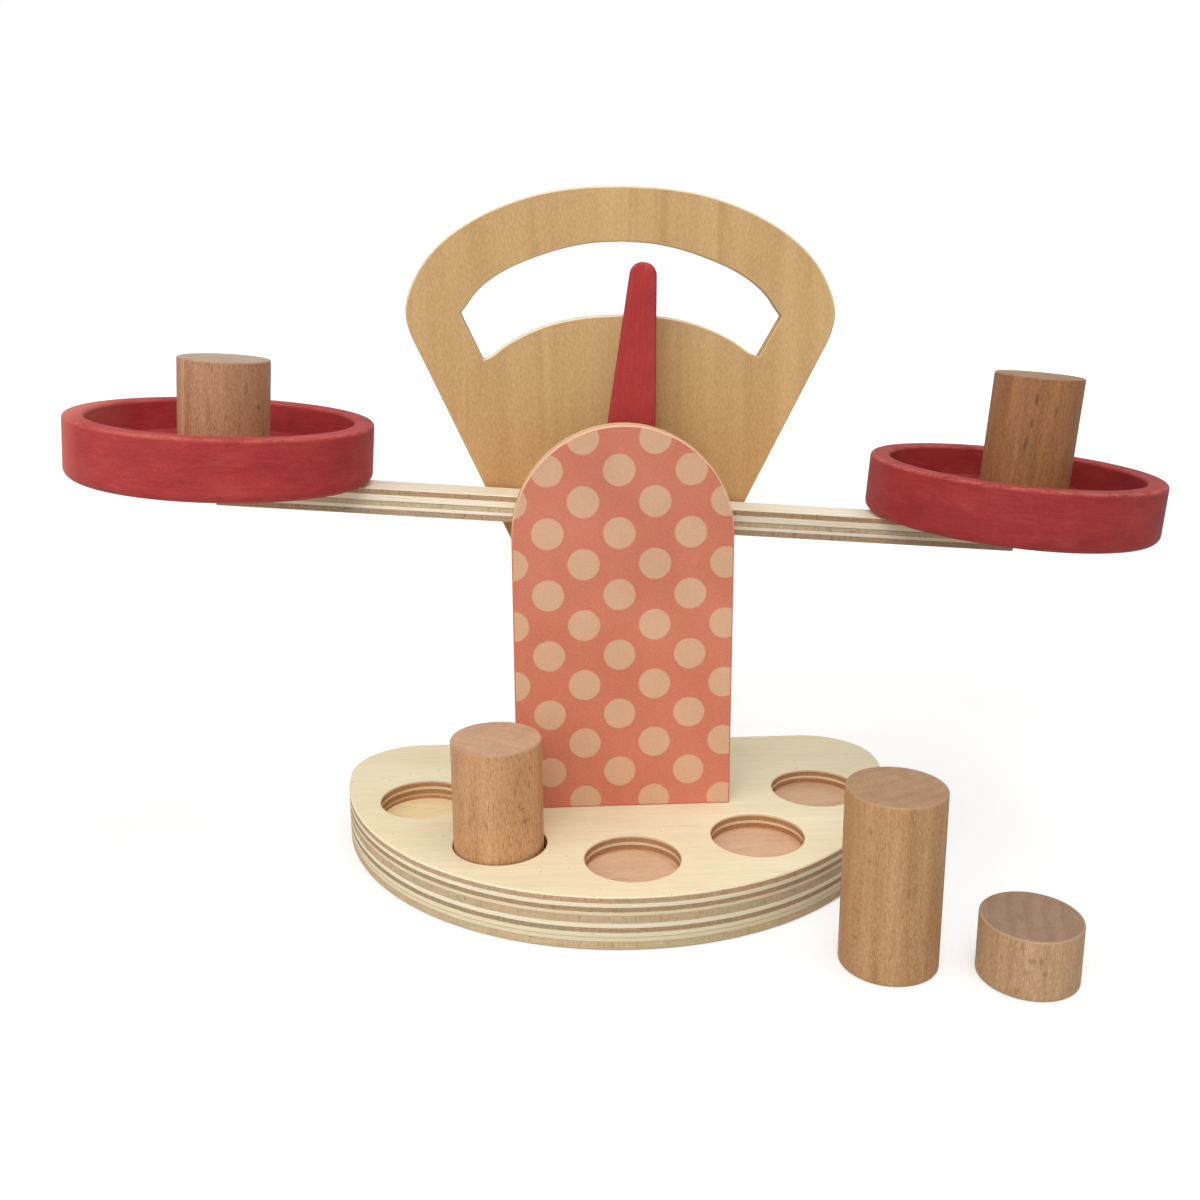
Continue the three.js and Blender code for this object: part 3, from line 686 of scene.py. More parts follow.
def printed(name):
    """Coral print with staggered pale round dots."""
    M = Mat(name, 0.66, 0.22)
    s = M.coord(5)
    o = M.sep(M.coord(0))
    U, V, X0, Z0, R = 12.049, 10.678, -1.383, 148.762, 5.42
    wob = M.add(M.around(M.noise(M.map(s, (1.3, 1.3, 1.3)), 2), 0.20),
                M.around(M.noise(M.map(s, (0.22, 0.22, 0.22)), 1), 0.30))
    a = M.math("DIVIDE", M.math("SUBTRACT", o[0], X0), U)
    b = M.math("DIVIDE", M.math("SUBTRACT", Z0, o[2]), V)
    p = M.mul(M.math("ADD", a, b), 0.5)
    q = M.mul(M.math("SUBTRACT", a, b), 0.5)
    dp = M.math("SUBTRACT", M.math("FRACT", M.math("ADD", p, 100.0)), 0.5)
    dq = M.math("SUBTRACT", M.math("FRACT", M.math("ADD", q, 100.0)), 0.5)
    da = M.mul(M.math("ADD", dp, dq), U)
    db = M.mul(M.math("SUBTRACT", dp, dq), V)
    d = M.math("SQRT", M.add(M.mul(da, da), M.mul(db, db)))
    dot = M.below(M.math("ADD", d, wob), R - 0.22, R + 0.22)
    # fine print grain with no direction, and slow mottling
    sp = M.noise(M.map(s, (3.2, 3.2, 3.2)), 3, 0.75)
    mo = M.noise(M.map(s, (0.05, 0.05, 0.035)), 3)
    t = M.add(M.mul(sp, 0.72), M.mul(mo, 0.28))
    coral = M.ramp(t, [(0.37, lin(PRINT[0])), (0.5, lin(PRINT[1])), (0.63, lin(PRINT[2]))])
    hue = M.noise(M.map(s, (2.6, 2.6, 2.6), (50, 20, 5)), 3, 0.75)
    pale = M.ramp(M.add(M.mul(hue, 0.7), M.mul(mo, 0.3)), [
        (0.38, lin(PRINT[3])), (0.5, lin(PRINT[4])), (0.62, lin(PRINT[5]))])
    col = M.mix(dot, coral, pale)
    # painted shade: the print darkens towards the board's head, where less light falls
    col = M.mix(M.mul(M.step(o[2], 50, 152), 0.11), col, lin((118, 84, 68)))
    # rubbed pinholes where the board shows through the print
    rub = M.step(M.noise(M.map(s, (0.8, 0.8, 0.8), (5, 70, 2)), 2), 0.74, 0.80)
    col = M.mix(M.mul(rub, 0.35), col, lin((236, 200, 168)))
    # painted highlight: the arch's rounded front edge, facing up to the light, is painted pale peach
    arch_highlight = M.mul(M.step(o[1], PANEL_Y + 0.16, PANEL_Y + 0.40), M.step(o[2], 100, 128))
    col = M.mix(M.mul(arch_highlight, 0.75), col, lin(ARCH_HIGHLIGHT))
    h = M.add(M.mul(sp, 0.8), M.mul(dot, 0.10))
    return M.finish(col, M.math("MULTIPLY_ADD", sp, 0.16, 0.58), h, 0.16, 0.0001)


def metal(name, colour, rough, seed):
    M = Mat(name, rough, 0.5)
    M.b.inputs["Metallic"].default_value = 1.0
    v = M.coord(seed)
    a = M.noise(M.map(v, (0.6, 0.6, 3.0)), 4, 0.6)
    b = M.noise(M.map(v, (0.25, 0.25, 0.25)), 2)
    c = M.noise(M.map(v, (1.4, 1.4, 1.4), (8, 8, 8)), 2)
    col = M.ramp(M.add(M.mul(a, 0.5), M.mul(b, 0.5)),
                 [(0.35, lin(shade(colour, 0.82))), (0.65, lin(colour))])
    col = M.mix(M.mul(M.step(c, 0.60, 0.75), 0.35), col, lin((150, 138, 118)))
    return M.finish(col, M.math("MULTIPLY_ADD", a, 0.22, rough - 0.08), a, 0.12, 0.00008)


def plastic(name, colour, seed):
    M = Mat(name, 0.45, 0.4)
    v = M.coord(seed)
    a = M.noise(M.map(v, (0.8, 0.8, 0.8)), 3)
    b = M.noise(M.map(v, (4.0, 4.0, 4.0)), 2)
    col = M.ramp(a, [(0.35, lin(shade(colour, 0.92))), (0.65, lin(colour))])
    return M.finish(col, M.math("MULTIPLY_ADD", a, 0.16, 0.38), M.add(a, M.mul(b, 0.4)), 0.1, 0.0001)


# places of the turned and tilted pieces, each with its own texture space
PAN_N = BEAM_T / 2 + 0.12
FLOOR_N = BEAM_T / 2 + 0.12 + PAN_FLOOR + 0.05
RECESSES = [(RING_R * math.sin(math.radians(RING_STEP * (i - 2))),
             BASE_ARC_Y - RING_R * math.cos(math.radians(RING_STEP * (i - 2)))) for i in range(5)]


def at(x, y, z, turn=0.0):
    return Matrix.Translation(Vector((x, y, z)) * MM) @ Matrix.Rotation(turn, 4, "Z")


PAN_PLACES = [on_balance(-PAN_X, 0, PAN_N), on_balance(PAN_X, 0, PAN_N)]
# name, height, place, side colours, end colours, pith, ring pitch, ring strength, large marks, amount of flecks
WEIGHTS = [
    ("weight_one", 18.8, at(113.4, -82.4, 0.02),
     ((204, 167, 127), (186, 148, 109), (164, 125, 87)), ((168, 139, 115), (157, 128, 104), (142, 113, 90)),
     (66.0, -24.0), 5.2, 0.24, [(-110, 12.8, 1.6, 1.0, 0.42), (-100, 12.8, 0.8, 1.3, 0.48), (-116, 9.0, 1.0, 0.9, 0.42),
                                (-95, 9.0, 0.9, 0.9, 0.46), (-121, 16.6, 0.5, 1.7, 0.45), (-124, 2.2, 0.6, 1.4, 0.40),
                                (140, 10.0, 1.2, 0.8, 0.5)], 0.4),
    # weight_two's first mark, with a negative amount, is a painted highlight: a pale upright stripe on its lit left
    # side
    ("weight_two", 31.3, on_balance(-135.0, -5.0, FLOOR_N),
     ((200, 154, 118), (182, 133, 98), (160, 112, 78)), ((192, 166, 146), (180, 155, 135), (166, 140, 120)),
     (-30.0, 30.0), 4.0, 0.12, [(-136, 15, 1.2, 60, -0.30), (-31, 16.6, 0.8, 0.8, 1.0), (60, 12, 0.7, 1.4, 0.5)], 1.3),
    ("weight_three_pan", 43.8, on_balance(138.4, -4.6, FLOOR_N),
     ((172, 121, 78), (153, 102, 62), (132, 84, 50)), ((172, 137, 108), (160, 125, 96), (144, 110, 82)),
     (36.0, 26.0), 4.0, 0.16, [(-112, 36.5, 0.7, 2.3, 0.8), (-114, 28.5, 0.6, 1.8, 0.7), (-118, 21.5, 0.7, 2.6, 0.8),
                               (-86, 33.0, 0.6, 2.0, 0.6),
                               (100, 18, 0.8, 1.6, 0.5)], 0.8),
    ("weight_three_base", 43.8, at(RECESSES[1][0] - 0.35, RECESSES[1][1], BASE_T - DEPTHS[1] + 0.05),
     ((212, 164, 120), (197, 147, 103), (176, 126, 82)), ((208, 169, 140), (196, 157, 127), (180, 141, 112)),
     (-40.0, -60.0), 5.0, 0.12, [(-52, 20.0, 1.5, 0.9, 0.7), (-66, 30.5, 0.4, 1.7, 0.6), (-57, 24.5, 1.0, 0.5, 0.45),
                                 (130, 25, 1.2, 1.0, 0.6)], 1.4),
    ("weight_four", 56.3, at(74.4, -72.4, 0.02),
     ((200, 158, 112), (183, 139, 94), (160, 115, 73)), ((184, 149, 117), (172, 138, 106), (156, 121, 91)),
     (-28.0, 60.0), 4.6, 0.16, [(-134, 47.4, 0.5, 2.0, 0.45), (-133, 38.5, 0.7, 1.2, 0.40), (-149, 12.7, 1.4, 0.8, 0.38),
                                (-143, 31.0, 1.0, 0.9, 0.28), (-88, 30.0, 0.5, 1.6, 0.40), (-104, 51.0, 0.5, 1.4, 0.32),
                                (80, 30, 0.9, 1.4, 0.5)], 0.45)]

CREAM, CREAM2 = (240, 229, 198), (234, 218, 186)
PRINT = [(197, 112, 88), (208, 124, 98), (218, 136, 109), (205, 164, 128), (215, 171, 138), (224, 178, 148)]
# pale peach of a painted highlight on the arch's rounded front edge
ARCH_HIGHLIGHT = (240, 190, 158)

base_face = veneer("base_face", (244, 235, 203), (237, 225, 190), (227, 211, 171), "x", 11,
                   broad=(0.035, 0.010), streak=(0.30, 0.012), fibre=(2.4, 0.14), weights=(0.42, 0.22, 0.36),
                   swing=0.15, flecks=[((208, 184, 140), 1.5, 0.16, 0.64, 0.78, 0.30)],
                   speck=((182, 150, 104), 0.55, 0.76, 0.80, 0.5), rough=0.58, spec=0.28, bump=0.2)
# the base edge carries a painted shade that darkens its right part
base_edge = ply_edge("base_edge", "z", 18, [
    (0.5, (238, 226, 190), "l"), (1.65, (190, 160, 129), "e"), (1.4, (236, 226, 196), "l"), (1.55, (172, 145, 114), "e"),
    (1.05, (226, 209, 176), "l"), (0.35, (200, 170, 138), "l"), (2.4, (196, 174, 141), "e"), (1.5, (237, 228, 199), "l"),
    (1.6, (172, 145, 114), "e"), (1.4, (230, 218, 186), "l"), (0.3, (200, 176, 140), "l"), (1.3, (225, 211, 177), "l"),
    (0.25, (198, 166, 132), "l"), (1.95, (201, 181, 144), "e"), (0.8, (196, 180, 146), "l")], 21,
    painted_shade_right=(0.17, -45, 65))
recess_wall = ply_edge("recess_wall", "z", 18, [
    (0.5, (214, 190, 150), "l"), (1.6, (172, 132, 96), "e"), (1.0, (222, 196, 158), "l"), (1.7, (168, 126, 92), "e"),
    (0.9, (206, 168, 130), "l"), (12.3, (176, 136, 102), "e")], 26, dashes=0.6)
recess_floor = veneer("recess_floor", (226, 192, 158), (214, 178, 144), (198, 160, 126), "x", 13,
                      broad=(0.06, 0.02), streak=(0.5, 0.05), fibre=(1.6, 0.3), weights=(0.3, 0.3, 0.4),
                      rough=0.7, spec=0.18, bump=0.4)
recess_floor_low = veneer("recess_floor_low", (250, 231, 184), (242, 221, 171), (230, 206, 155), "x", 14,
                          broad=(0.06, 0.02), streak=(0.5, 0.05), fibre=(1.6, 0.3), weights=(0.3, 0.3, 0.4),
                          rough=0.7, spec=0.18, bump=0.4)
beam_face = veneer("beam_face", (248, 240, 220), (240, 230, 206), (226, 213, 186), "x", 12,
                   broad=(0.06, 0.010), streak=(0.55, 0.02), fibre=(3.0, 0.16), weights=(0.34, 0.3, 0.36),
                   flecks=[((190, 176, 150), 2.0, 0.10, 0.62, 0.76, 0.4)], rough=0.58, bump=0.2, place=BALANCE)
# the beam edge turns darker and greyer towards its right end
beam_edge = ply_edge("beam_edge", "z", 9, [
    (0.25, CREAM, "l"), (1.75, (178, 149, 118), "e"), (2.05, (243, 232, 208), "l"), (0.32, (166, 146, 118), "l"),
    (1.5, (200, 183, 152), "e"), (1.05, (243, 233, 212), "l"), (1.8, (180, 154, 126), "e"),
    (0.28, (200, 180, 150), "l")], 22, low=-4.5, wave=0.10, dashes=1.35, ragged=0.12,
    right_darkening=((208, 204, 200), -50, 80, 0.6), place=BALANCE)
dial_face = veneer("dial_face", (213, 178, 127), (197, 160, 109), (178, 138, 88), "z", 31,
                   broad=(0.05, 0.0035), streak=(0.16, 0.006), fibre=(2.4, 0.70), weights=(0.36, 0.22, 0.42),
                   swing=0.15, flecks=[((172, 130, 86), 2.2, 0.40, 0.64, 0.78, 0.20)], rough=0.52, spec=0.3,
                   bump=0.2, sway=4.0, tint=((255, 240, 226), 2, 190, 120, 0.8),
                   lines=((176, 134, 84), 0.20, 0.010, 0.62, 0.70, 0.30))
# lip paints highlights on the window's lower curve and on the top of the head's outline
dial_edge = ply_edge("dial_edge", "y", 6, [
    (0.9, (204, 170, 122), "l"), (1.3, (172, 134, 94), "e"), (1.6, (206, 178, 134), "l"),
    (1.3, (168, 130, 90), "e"), (0.9, (204, 170, 122), "l")], 23, low=27.5, wave=0.06,
    lip=((238, 226, 196), 45, 171, 188))
print_face = printed("print_face")
panel_edge = ply_edge("panel_edge", "y", 8, [
    (0.8, (230, 196, 160), "l"), (1.5, (198, 158, 122), "e"), (1.6, (232, 206, 170), "l"),
    (1.5, (192, 152, 116), "e"), (1.6, (230, 196, 162), "l"), (1.0, (228, 182, 152), "l")], 24, low=1.5, wave=0.06,
    coat=((206, 118, 93), 2.15, 106))
panel_back = veneer("panel_back", (236, 221, 188), (226, 208, 170), (212, 190, 150), "z", 33,
                    weights=(0.4, 0.3, 0.3), rough=0.62, bump=0.22)
side_mats = [beech_side(f"beech_side_{w[0]}", *w[3], 40 + i, w[1], w[8], w[9], w[2]) for i, w in enumerate(WEIGHTS)]
end_mats = [beech_end(f"beech_end_{w[0]}", *w[4], 50 + i, w[5], w[6], w[7], w[2]) for i, w in enumerate(WEIGHTS)]
block_wood = veneer("block_wood", (218, 176, 136), (202, 156, 116), (182, 134, 94), "x", 35,
                    flecks=[((140, 96, 66), 1.7, 0.34, 0.60, 0.72, 0.45)], rough=0.6, bump=0.3)
# the left pan's 0.9 is a painted highlight on its lit outer left
red_pan_l = red_stain("red_pan_left", (166, 51, 51), (144, 38, 39), (184, 64, 60), 61, PAN_PLACES[0],
                      lambda M, v0, v: pan_wear_and_highlight(M, v0, v, 0.9),
                      (0.14, 0.14, 1.3))
red_pan_r = red_stain("red_pan_right", (152, 45, 44), (132, 34, 35), (168, 57, 54), 62, PAN_PLACES[1], pan_wear_and_highlight,
                      (0.14, 0.14, 1.3))
red_pointer = red_stain("red_pointer", (168, 50, 49), (154, 41, 42), (180, 60, 57), 63, BALANCE, pointer_wear,
                        (1.3, 1.3, 0.06), 0.5)
steel = metal("zinc_steel", (196, 198, 202), 0.34, 71)
nylon = plastic("nylon", (236, 234, 226), 72)


# ---------------------------------------------------------------------- pieces
def take(ob, body, slot, *nodes):
    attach(ob, body)
    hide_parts(*nodes)
    return ob


flat_xy = lambda u, v, w: (u, v, w)
flat_xz = lambda u, v, w: (u, w, v)

# base board
outline = (arc(0, BASE_ARC_Y, BASE_R, 180, 360, 150)
           + arc(BASE_R - BASE_CORNER_R, BASE_BACK_Y - BASE_CORNER_R, BASE_CORNER_R, 0, 90, 24)[1:]
           + arc(-BASE_R + BASE_CORNER_R, BASE_BACK_Y - BASE_CORNER_R, BASE_CORNER_R, 90, 180, 24)[:-1])
lip = [(RECESS_R + i, d) for i, d in rounding(0.35, 2)]
pockets = [(x, y, lip + [(RECESS_R, d)], 5, 3 if d < 6 else 4) for (x, y), d in zip(RECESSES, DEPTHS)]
screw_pockets = [(s * 10, 18.5, [(3.9, 0), (3.9, 0.9), (2.1, 3.0), (2.1, 17.2)], 2, 2) for s in (-1, 1)]
take(plate("base_board_wood", outline, 0, BASE_T, flat_xy,
           [base_face, base_face, base_edge, recess_floor, recess_floor_low, recess_wall],
           pockets0=screw_pockets, pockets1=pockets, r0=0.7, r1=0.55), "stand", "plywood", "base_board")

# front panel
half = PANEL_W / 2
arch = [(-half, 18.05), (half, 18.05)] + arc(0, PANEL_TOP - half, half, 0, 180, 90)
take(plate("front_panel_board", arch, PANEL_Y, PANEL_Y + PANEL_T, flat_xz, [print_face, panel_back, panel_edge],
           pockets1=[(PIVOT.x, PIVOT.z, [(2.3, 0), (2.3, 4.8)], 2, 2)], r0=0.45, r1=0.6),
     "stand", "printed_plywood", "front_panel")

# dial plate
head = smooth(DIAL_HEAD, 8)
stem = STEM_W / 2
right = [(stem, 18.05), (stem, FLARE_Z - 1.5)] + corner((stem, FLARE_Z - 8), (stem, FLARE_Z), (39.9, 112.0), 3.0, 4) + head


def lean(p):
    x, z = p[0], p[1] - LEAN_Z
    return x * math.cos(LEAN) + z * math.sin(LEAN), LEAN_Z + z * math.cos(LEAN) - x * math.sin(LEAN)


dial = right + [(-x, z) for x, z in reversed(right[:-1])]
dial = [p if p[1] < FLARE_Z else lean(p) for p in dial]


def window_side(side):
    top = [lean((side * x, z)) for x, z in smooth(WINDOW_TOP, 6)]
    bottom = [(side * x + WINDOW_LOW_X, z) for x, z in smooth(WINDOW_BOTTOM, 6)]
    outer = lean((side * WINDOW_OUTER[0], WINDOW_OUTER[1]))
    lower = (side * WINDOW_LOWER[0] + WINDOW_LOW_X, WINDOW_LOWER[1])
    return top + corner(top[-1], outer, lower, 0.6, 5) + corner(outer, lower, bottom[0], 0.5, 5) + bottom


window = window_side(1) + window_side(-1)[::-1][1:-1]
dial_screws = [(s * 22, z) for z in (31.3, 100.9) for s in (-1, 1)]
take(plate("dial_plate_board", dial, DIAL_Y, DIAL_Y + DIAL_T, flat_xz, [dial_face, dial_face, dial_edge],
           holes=[window, circle(PIVOT.x, PIVOT.z, 2.3, 32)],
           pockets1=[(x, z, [(3.9, 0), (3.9, 0.45), (2.1, 2.55), (2.1, 5.6)], 2, 2) for x, z in dial_screws],
           r0=0.55, r1=0.55),
     "stand", "dial_plywood", "dial_plate")

# blocks between the uprights
lo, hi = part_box("foot_block")
lo, hi = lo / MM, hi / MM
take(plate("foot_block_wood", rounded_box(lo.x, hi.x, lo.z - 0.25, hi.z, 0.6), lo.y, hi.y, flat_xz,
           [block_wood] * 3, r0=0.5, r1=0.5), "stand", "beech", "foot_block")
lo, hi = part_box("stop_block")
lo, hi = lo / MM, hi / MM
take(plate("stop_block_wood", rounded_box(lo.x, hi.x, lo.z, hi.z, 0.6), lo.y, hi.y, flat_xz,
           [block_wood] * 3, r0=0.5, r1=0.5), "stand", "beech", "stop_block")

# beam, bored for the pin
beam = plate("beam_strip", rounded_box(-BEAM_L / 2, BEAM_L / 2, -BEAM_W / 2, BEAM_W / 2, 0.5, 3),
             -BEAM_T / 2, BEAM_T / 2, flat_xy, [beam_face, beam_face, beam_edge],
             pockets0=[(s * x, 0, [(3.6, 0), (3.6, 0.45), (1.95, 2.4), (1.95, 8.7)], 2, 2) for s in (-1, 1) for x in (103, 127)]
             + [(POINTER_S + s * 6, 0, [(2.75, 0), (2.75, 0.45), (1.55, 1.9), (1.55, 8.7)], 2, 2) for s in (-1, 1)],
             r0=0.35, r1=0.35, matrix=BALANCE)
bore = Build()
ends = [bore.ring([(x, y, z) for x, z in circle(0, 0, 2.3, 32)]) for y in (-9, 9)]
bore.strip(ends[0], ends[1], 0)
bore.fan(ends[0], (0, -9, 0), 0)
bore.fan(ends[1], (0, 9, 0), 0)
bore = bore.object("bore_tool", [beam_edge], BALANCE, weighted=False)
beam.modifiers.clear()
cut = beam.modifiers.new("bore", "BOOLEAN")
cut.operation, cut.solver, cut.object = "DIFFERENCE", "EXACT", bore
bpy.context.view_layer.update()
bored = bpy.data.meshes.new_from_object(beam.evaluated_get(bpy.context.evaluated_depsgraph_get()))
beam.modifiers.clear()
beam.data = bored
bpy.data.objects.remove(bore)
for face in bored.polygons:
    c = BALANCE.inverted() @ face.center / MM
    if math.hypot(c.x, c.z) < 2.5 and abs(c.y) < 7.6:
        face.material_index = 2
bored.set_sharp_from_angle(angle=math.radians(32))
weigh(beam)
take(beam, "balance", "plywood", "beam")

# pointer
foot = BEAM_T / 2 + 0.03
tip_r = TIP_TOP - TIP_C
tilt_a = math.degrees(math.asin((FOOT_HALF - TIP_HALF) / (TIP_C - foot)))
blade = [(-FOOT_HALF, foot), (FOOT_HALF, foot)] + arc(0, TIP_C, tip_r, tilt_a, 180 - tilt_a, 24)
blade = [(x + POINTER_S, z) for x, z in blade]
take(plate("pointer_blade", blade, -POINTER_T / 2, POINTER_T / 2, flat_xz, [red_pointer] * 3,
           r0=0.9, r1=0.9, seg=4, matrix=BALANCE), "balance", "red_stained_wood", "pointer")


# pans: turned bowls, very slightly out of round
def pan(name, place, mat, seed):
    R = PAN_R - 0.03
    pr = [(0, 0, 0), (20, 0, 0), (R - 3.0, 0, 0)]
    pr += [(r, h, 0) for r, h in arc(R - 3.0, 3.0, 3.0, -90, 0, 8)[1:]]
    pr += [(R, 8, 0), (R, 14, 0)]
    pr += [(r, h, 0) for r, h in arc(R - 1.3, PAN_H - 1.3, 1.3, 0, 90, 6)]
    pr += [(r, h, 0) for r, h in arc(PAN_R - PAN_RIM + 1.3, PAN_H - 1.3, 1.3, 90, 180, 6)]
    pr += [(r, h, 0) for r, h in arc(PAN_R - PAN_RIM - 0.9, PAN_FLOOR + 0.9, 0.9, 0, -90, 4)]
    pr += [(25, PAN_FLOOR, 0), (0, PAN_FLOOR, 0)]
    return turned(name, pr, [mat], 160, place, 30, 0.10, seed)


take(pan("pan_left_bowl", PAN_PLACES[0], red_pan_l, 3), "balance", "red_stained_wood", "pan_left")
take(pan("pan_right_bowl", PAN_PLACES[1], red_pan_r, 4), "balance", "red_stained_wood", "pan_right")

# weights: sawn and turned rods with eased ends
for k, (name, h, place, *_) in enumerate(WEIGHTS):
    e = 0.55
    pr = [(0, 0, 1), (WEIGHT_R - e, 0, 0)]
    pr += [(r, z, 0) for r, z in arc(WEIGHT_R - e, e, e, -90, 0, 3)[1:]]
    pr += [(WEIGHT_R, h * 0.5, 0)]
    pr += [(r, z, 0) for r, z in arc(WEIGHT_R - e, h - e, e, 0, 90, 3)[:-1]]
    pr += [(WEIGHT_R - e, h, 1), (0, h, 1)]
    take(turned(name + "_rod", pr, [side_mats[k], end_mats[k]], 112, place, 32, 0.07, 20 + k), name, "beech", name)


# screws, pin and washers
def screw(name, length, radius, matrix):
    head, neck = 3.5 * radius / 1.75, 2.1 * radius / 1.75
    b = Build()
    n = 40
    cross = 0.17 * head
    # head face with a cross recess: rings sink inside the cross
    rings = []

    def depth_at(x, y):
        ax, ay = abs(x), abs(y)
        arm = 0.62 * head
        inside = (ax < cross and ay < arm) or (ay < cross and ax < arm)
        d = math.hypot(x, y)
        return (1.15 * (1 - 0.55 * d / arm)) * radius / 1.75 if inside else 0.0

    grid = 15
    span = [head * 0.72 * (2 * i / (grid - 1) - 1) for i in range(grid)]
    # snap grid lines to the cross's walls
    lines = sorted(set([round(s, 4) for s in span] + [round(k * cross * f, 4) for k in (-1, 1) for f in (0.999, 1.001)]
                       + [round(k * 0.62 * head * f, 4) for k in (-1, 1) for f in (0.999, 1.001)]))
    lim = head * 0.72
    lines = [s for s in lines if -lim <= s <= lim]
    m = len(lines)
    idx = {}
    for i, x in enumerate(lines):
        for j, y in enumerate(lines):
            idx[i, j] = len(b.v)
            b.v.append((x, y, depth_at(x, y)))
    for i in range(m - 1):
        for j in range(m - 1):
            b.f.append((idx[i, j], idx[i + 1, j], idx[i + 1, j + 1], idx[i, j + 1]))
            b.m.append(0)
    border = ([idx[i, 0] for i in range(m)] + [idx[m - 1, j] for j in range(1, m)]
              + [idx[i, m - 1] for i in range(m - 2, -1, -1)] + [idx[0, j] for j in range(m - 2, 0, -1)])
    flat = [(b.v[k][0], b.v[k][1]) for k in border]
    rim = circle(0, 0, head - 0.12, n)
    rim_idx = b.ring([(x, y, 0.0) for x, y in rim])
    b.cap([(rim_idx, rim), (border, flat)], 0)
    prof = [(head, 0.12), (head, 0.28), (radius * 0.98, neck), (radius * 0.98, neck + 0.8)]
    prev = rim_idx
    for r, h in prof:
        ring = b.ring([(x, y, h) for x, y in circle(0, 0, r, n)])
        b.strip(prev, ring, 0)
        prev = ring
    # thread: a helical ridge on a core, fading at both ends
    pitch, core = 1.35 * radius / 1.75, radius * 0.70
    z0, z1 = neck + 0.8, length - 2.4
    steps = max(8, int((z1 - z0) / pitch * 8))
    for i in range(1, steps + 1):
        h = z0 + (z1 - z0) * i / steps
        fade = min(1.0, 4 * i / steps, 4 * (steps - i) / steps)
        pts = []
        for k in range(n):
            a = 2 * math.pi * k / n
            t = (h / pitch - k / n) % 1.0
            ridge = max(0.0, 1 - abs(t - 0.5) * 4.2)
            r = core + (radius * 0.98 - core) * ridge * fade if i > 1 else radius * 0.9
            pts.append((r * math.cos(a), r * math.sin(a), h))
        ring = b.ring(pts)
        b.strip(prev, ring, 0)
        prev = ring
    ring = b.ring([(x, y, length - 0.2) for x, y in circle(0, 0, 0.2, n)])
    b.strip(prev, ring, 0)
    b.fan(ring, (0, 0, length), 0)
    return b.object(name, [steel], matrix, 38, False)


for side, x in (("left", -10), ("right", 10)):
    take(screw(f"base_screw_{side}_zinc", 36, 1.75, at(x, 18.5, 0.6)), "stand", "steel", f"base_screw_{side}")
rear = DIAL_Y + DIAL_T - 0.1
for row, z in (("lower", 31.3), ("upper", None)):
    for side, x in (("left", -22), ("right", 22)):
        node = f"dial_screw_{row}_{side}"
        lo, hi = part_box(node)
        zz = (lo.z + hi.z) / 2 / MM
        m = Matrix.Translation(Vector((x, rear, zz)) * MM) @ Matrix.Rotation(math.pi / 2, 4, "X") @ Matrix.Rotation(0.5 * x + z if z else 0.3 * x, 4, "Z")
        take(screw(node + "_zinc", 20, 1.75, m), "stand", "steel", node)
for side, s in (("left", -1), ("right", 1)):
    for where, x in (("inner", 103), ("outer", 127)):
        node = f"pan_screw_{side}_{where}"
        take(screw(node + "_zinc", 14.5, 1.6, on_balance(s * x, 0, -BEAM_T / 2 + 0.1, 0.4 * x)), "balance", "steel", node)
    node = f"pointer_screw_{side}"
    take(screw(node + "_zinc", 20, 1.2, on_balance(POINTER_S + s * 6, 0, -BEAM_T / 2 + 0.1, 0.7)), "balance", "steel", node)

along_y = Matrix.Translation(Vector((PIVOT.x, 5.0, PIVOT.z)) * MM) @ Matrix.Rotation(-math.pi / 2, 4, "X")
pin = turned("pivot_pin_steel", [(0, 0, 0), (1.6, 0, 0), (1.9, 0.15, 0), (2.0, 0.45, 0), (2.0, 14, 0), (2.0, 27.75, 0),
                                 (1.9, 28.05, 0), (1.6, 28.2, 0), (0, 28.2, 0)], [steel], 40, along_y, 40)
take(pin, "stand", "steel", "pivot_pin")


def washer(name, y):
    b = Build()
    rings = []
    for r, h in [(2.3, 0.12), (2.42, 0), (4.48, 0), (4.6, 0.12), (4.6, 0.78), (4.48, 0.9), (2.42, 0.9), (2.3, 0.78)]:
        rings.append(b.ring([(x, y2, h) for x, y2 in circle(0, 0, r, 48)]))
    for a, c in zip(rings, rings[1:] + rings[:1]):
        b.strip(a, c, 0)
    m = Matrix.Translation(Vector((PIVOT.x, y, PIVOT.z)) * MM) @ Matrix.Rotation(-math.pi / 2, 4, "X")
    return b.object(name, [nylon], m, 30)


take(washer("washer_front_nylon", 9.8), "stand", "nylon", "washer_front")
take(washer("washer_rear_nylon", 26.3), "stand", "nylon", "washer_rear")

# ----------------------------------------------------------------------- stage
# a wide matte disc; a little glow that only the camera sees lifts it to the backdrop's white
stage = Mat("stage_floor", 0.95, 0.05)
o = stage.sep(stage.coord(0))
far = stage.math("SQRT", stage.add(stage.mul(o[0], o[0]), stage.mul(o[1], o[1])))
tone = stage.noise(stage.map(stage.coord(90), (0.004, 0.004, 0.004)), 2)
stage.put(stage.b.inputs["Base Color"], stage.ramp(tone, [(0.3, (0.60, 0.60, 0.595, 1)), (0.7, (0.64, 0.64, 0.635, 1))]))
glow = stage.nt.nodes.new("ShaderNodeEmission")
path = stage.nt.nodes.new("ShaderNodeLightPath")
lift = stage.math("MULTIPLY_ADD", stage.step(far, 350, 1500), 0.30, 0.46)
stage.put(glow.inputs["Strength"], stage.mul(path.outputs["Is Camera Ray"], lift))
both = stage.nt.nodes.new("ShaderNodeAddShader")
stage.link(stage.b.outputs[0], both.inputs[0])
stage.link(glow.outputs[0], both.inputs[1])
stage.link(both.outputs[0], stage.out.inputs[0])
disc = Build()
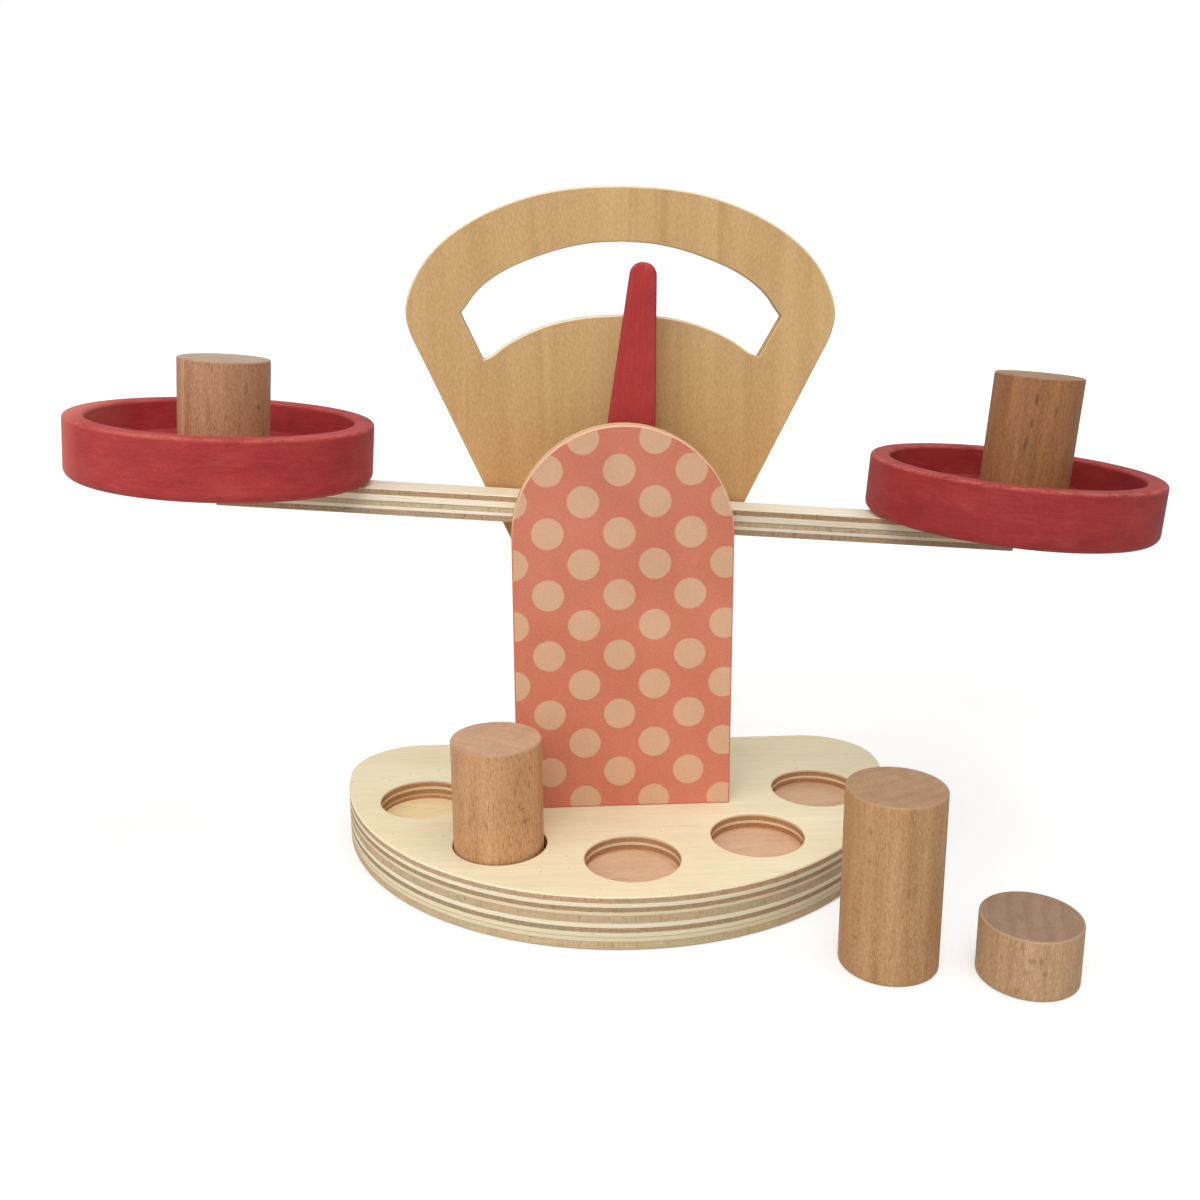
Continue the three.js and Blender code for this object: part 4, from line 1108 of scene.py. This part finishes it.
rings = [disc.ring([(x, y, -0.1) for x, y in circle(0, 0, r, 96)]) for r in (300, 900, 2000, 5000)]
for inner, outer in zip(rings, rings[1:]):
    disc.strip(inner, outer, 0)
disc.fan(rings[0], (0, 0, -0.1), 0)
disc.object("stage_disc", [stage.m], weighted=False)

# ---------------------------------------------------------------------- lights
world = bpy.data.worlds.new("studio")
bpy.context.scene.world = world
world.use_nodes = True
nt = world.node_tree
sky = nt.nodes["Background"]
sky.inputs[0].default_value = (1.0, 1.0, 1.0, 1)
sky.inputs[1].default_value = 0.5
backdrop = nt.nodes.new("ShaderNodeBackground")
backdrop.inputs[0].default_value = (1.0, 1.0, 1.0, 1)
backdrop.inputs[1].default_value = 1.0
ray = nt.nodes.new("ShaderNodeLightPath")
pick = nt.nodes.new("ShaderNodeMixShader")
nt.links.new(ray.outputs["Is Camera Ray"], pick.inputs[0])
nt.links.new(sky.outputs[0], pick.inputs[1])
nt.links.new(backdrop.outputs[0], pick.inputs[2])
nt.links.new(pick.outputs[0], nt.nodes["World Output"].inputs[0])


def area_light(name, loc, target, size, reach, colour=(1, 1, 1)):
    """reach: radiance of a white matte face turned to the lamp at the target."""
    l = bpy.data.lights.new(name, "AREA")
    l.shape = "DISK"
    l.size = size
    l.energy = reach * math.pi ** 2 * (Vector(target) - Vector(loc)).length_squared
    l.color = colour
    o = bpy.data.objects.new(name, l)
    o.location = loc
    o.rotation_euler = (Vector(target) - Vector(loc)).to_track_quat("-Z", "Y").to_euler()
    bpy.context.scene.collection.objects.link(o)
    return o


area_light("key_front", (-0.35, -1.5, 1.45), (0, 0, 0.08), 1.3, 0.36)
area_light("key_left", (-1.05, -0.85, 0.75), (-0.05, 0, 0.1), 1.3, 0.305, (1.0, 0.99, 0.975))
area_light("top", (0.42, -0.18, 1.65), (0.05, 0.02, 0.05), 1.2, 0.31)
area_light("fill_back", (0.15, 1.05, 1.3), (0.0, 0.03, 0.02), 1.1, 0.075)

# ---------------------------------------------------------------------- camera
F_PX, PPY = 1248.385, 548.69
yaw, pitch, roll = -0.0553039, 0.2359800, -0.0054293
cy, sy = math.cos(yaw), math.sin(yaw)
cp, sp = math.cos(pitch), math.sin(pitch)
fwd = Vector((-sy * cp, cy * cp, -sp))
rgt = Vector((cy, sy, 0))
upv = rgt.cross(fwd)
cr, sr = math.cos(roll), math.sin(roll)
r2, u2 = rgt * cr + upv * sr, upv * cr - rgt * sr
cam = bpy.data.cameras.new("camera")
cam.sensor_width = 36
cam.lens = F_PX / 1200 * 36
cam.shift_y = (PPY - 600) / 1200
cam.clip_start, cam.clip_end = 0.01, 20
cam_ob = bpy.data.objects.new("camera", cam)
cam_ob.matrix_world = Matrix((
    (r2.x, u2.x, -fwd.x, -0.030375), (r2.y, u2.y, -fwd.y, -0.404709), (r2.z, u2.z, -fwd.z, 0.209315), (0, 0, 0, 1)))
bpy.context.scene.collection.objects.link(cam_ob)
bpy.context.scene.camera = cam_ob

bpy.context.scene.view_settings.view_transform = "Standard"
bpy.context.scene.view_settings.look = "None"
bpy.context.scene.view_settings.exposure = 0.0
bpy.context.scene.view_settings.gamma = 1.0

bpy.context.view_layer.update()
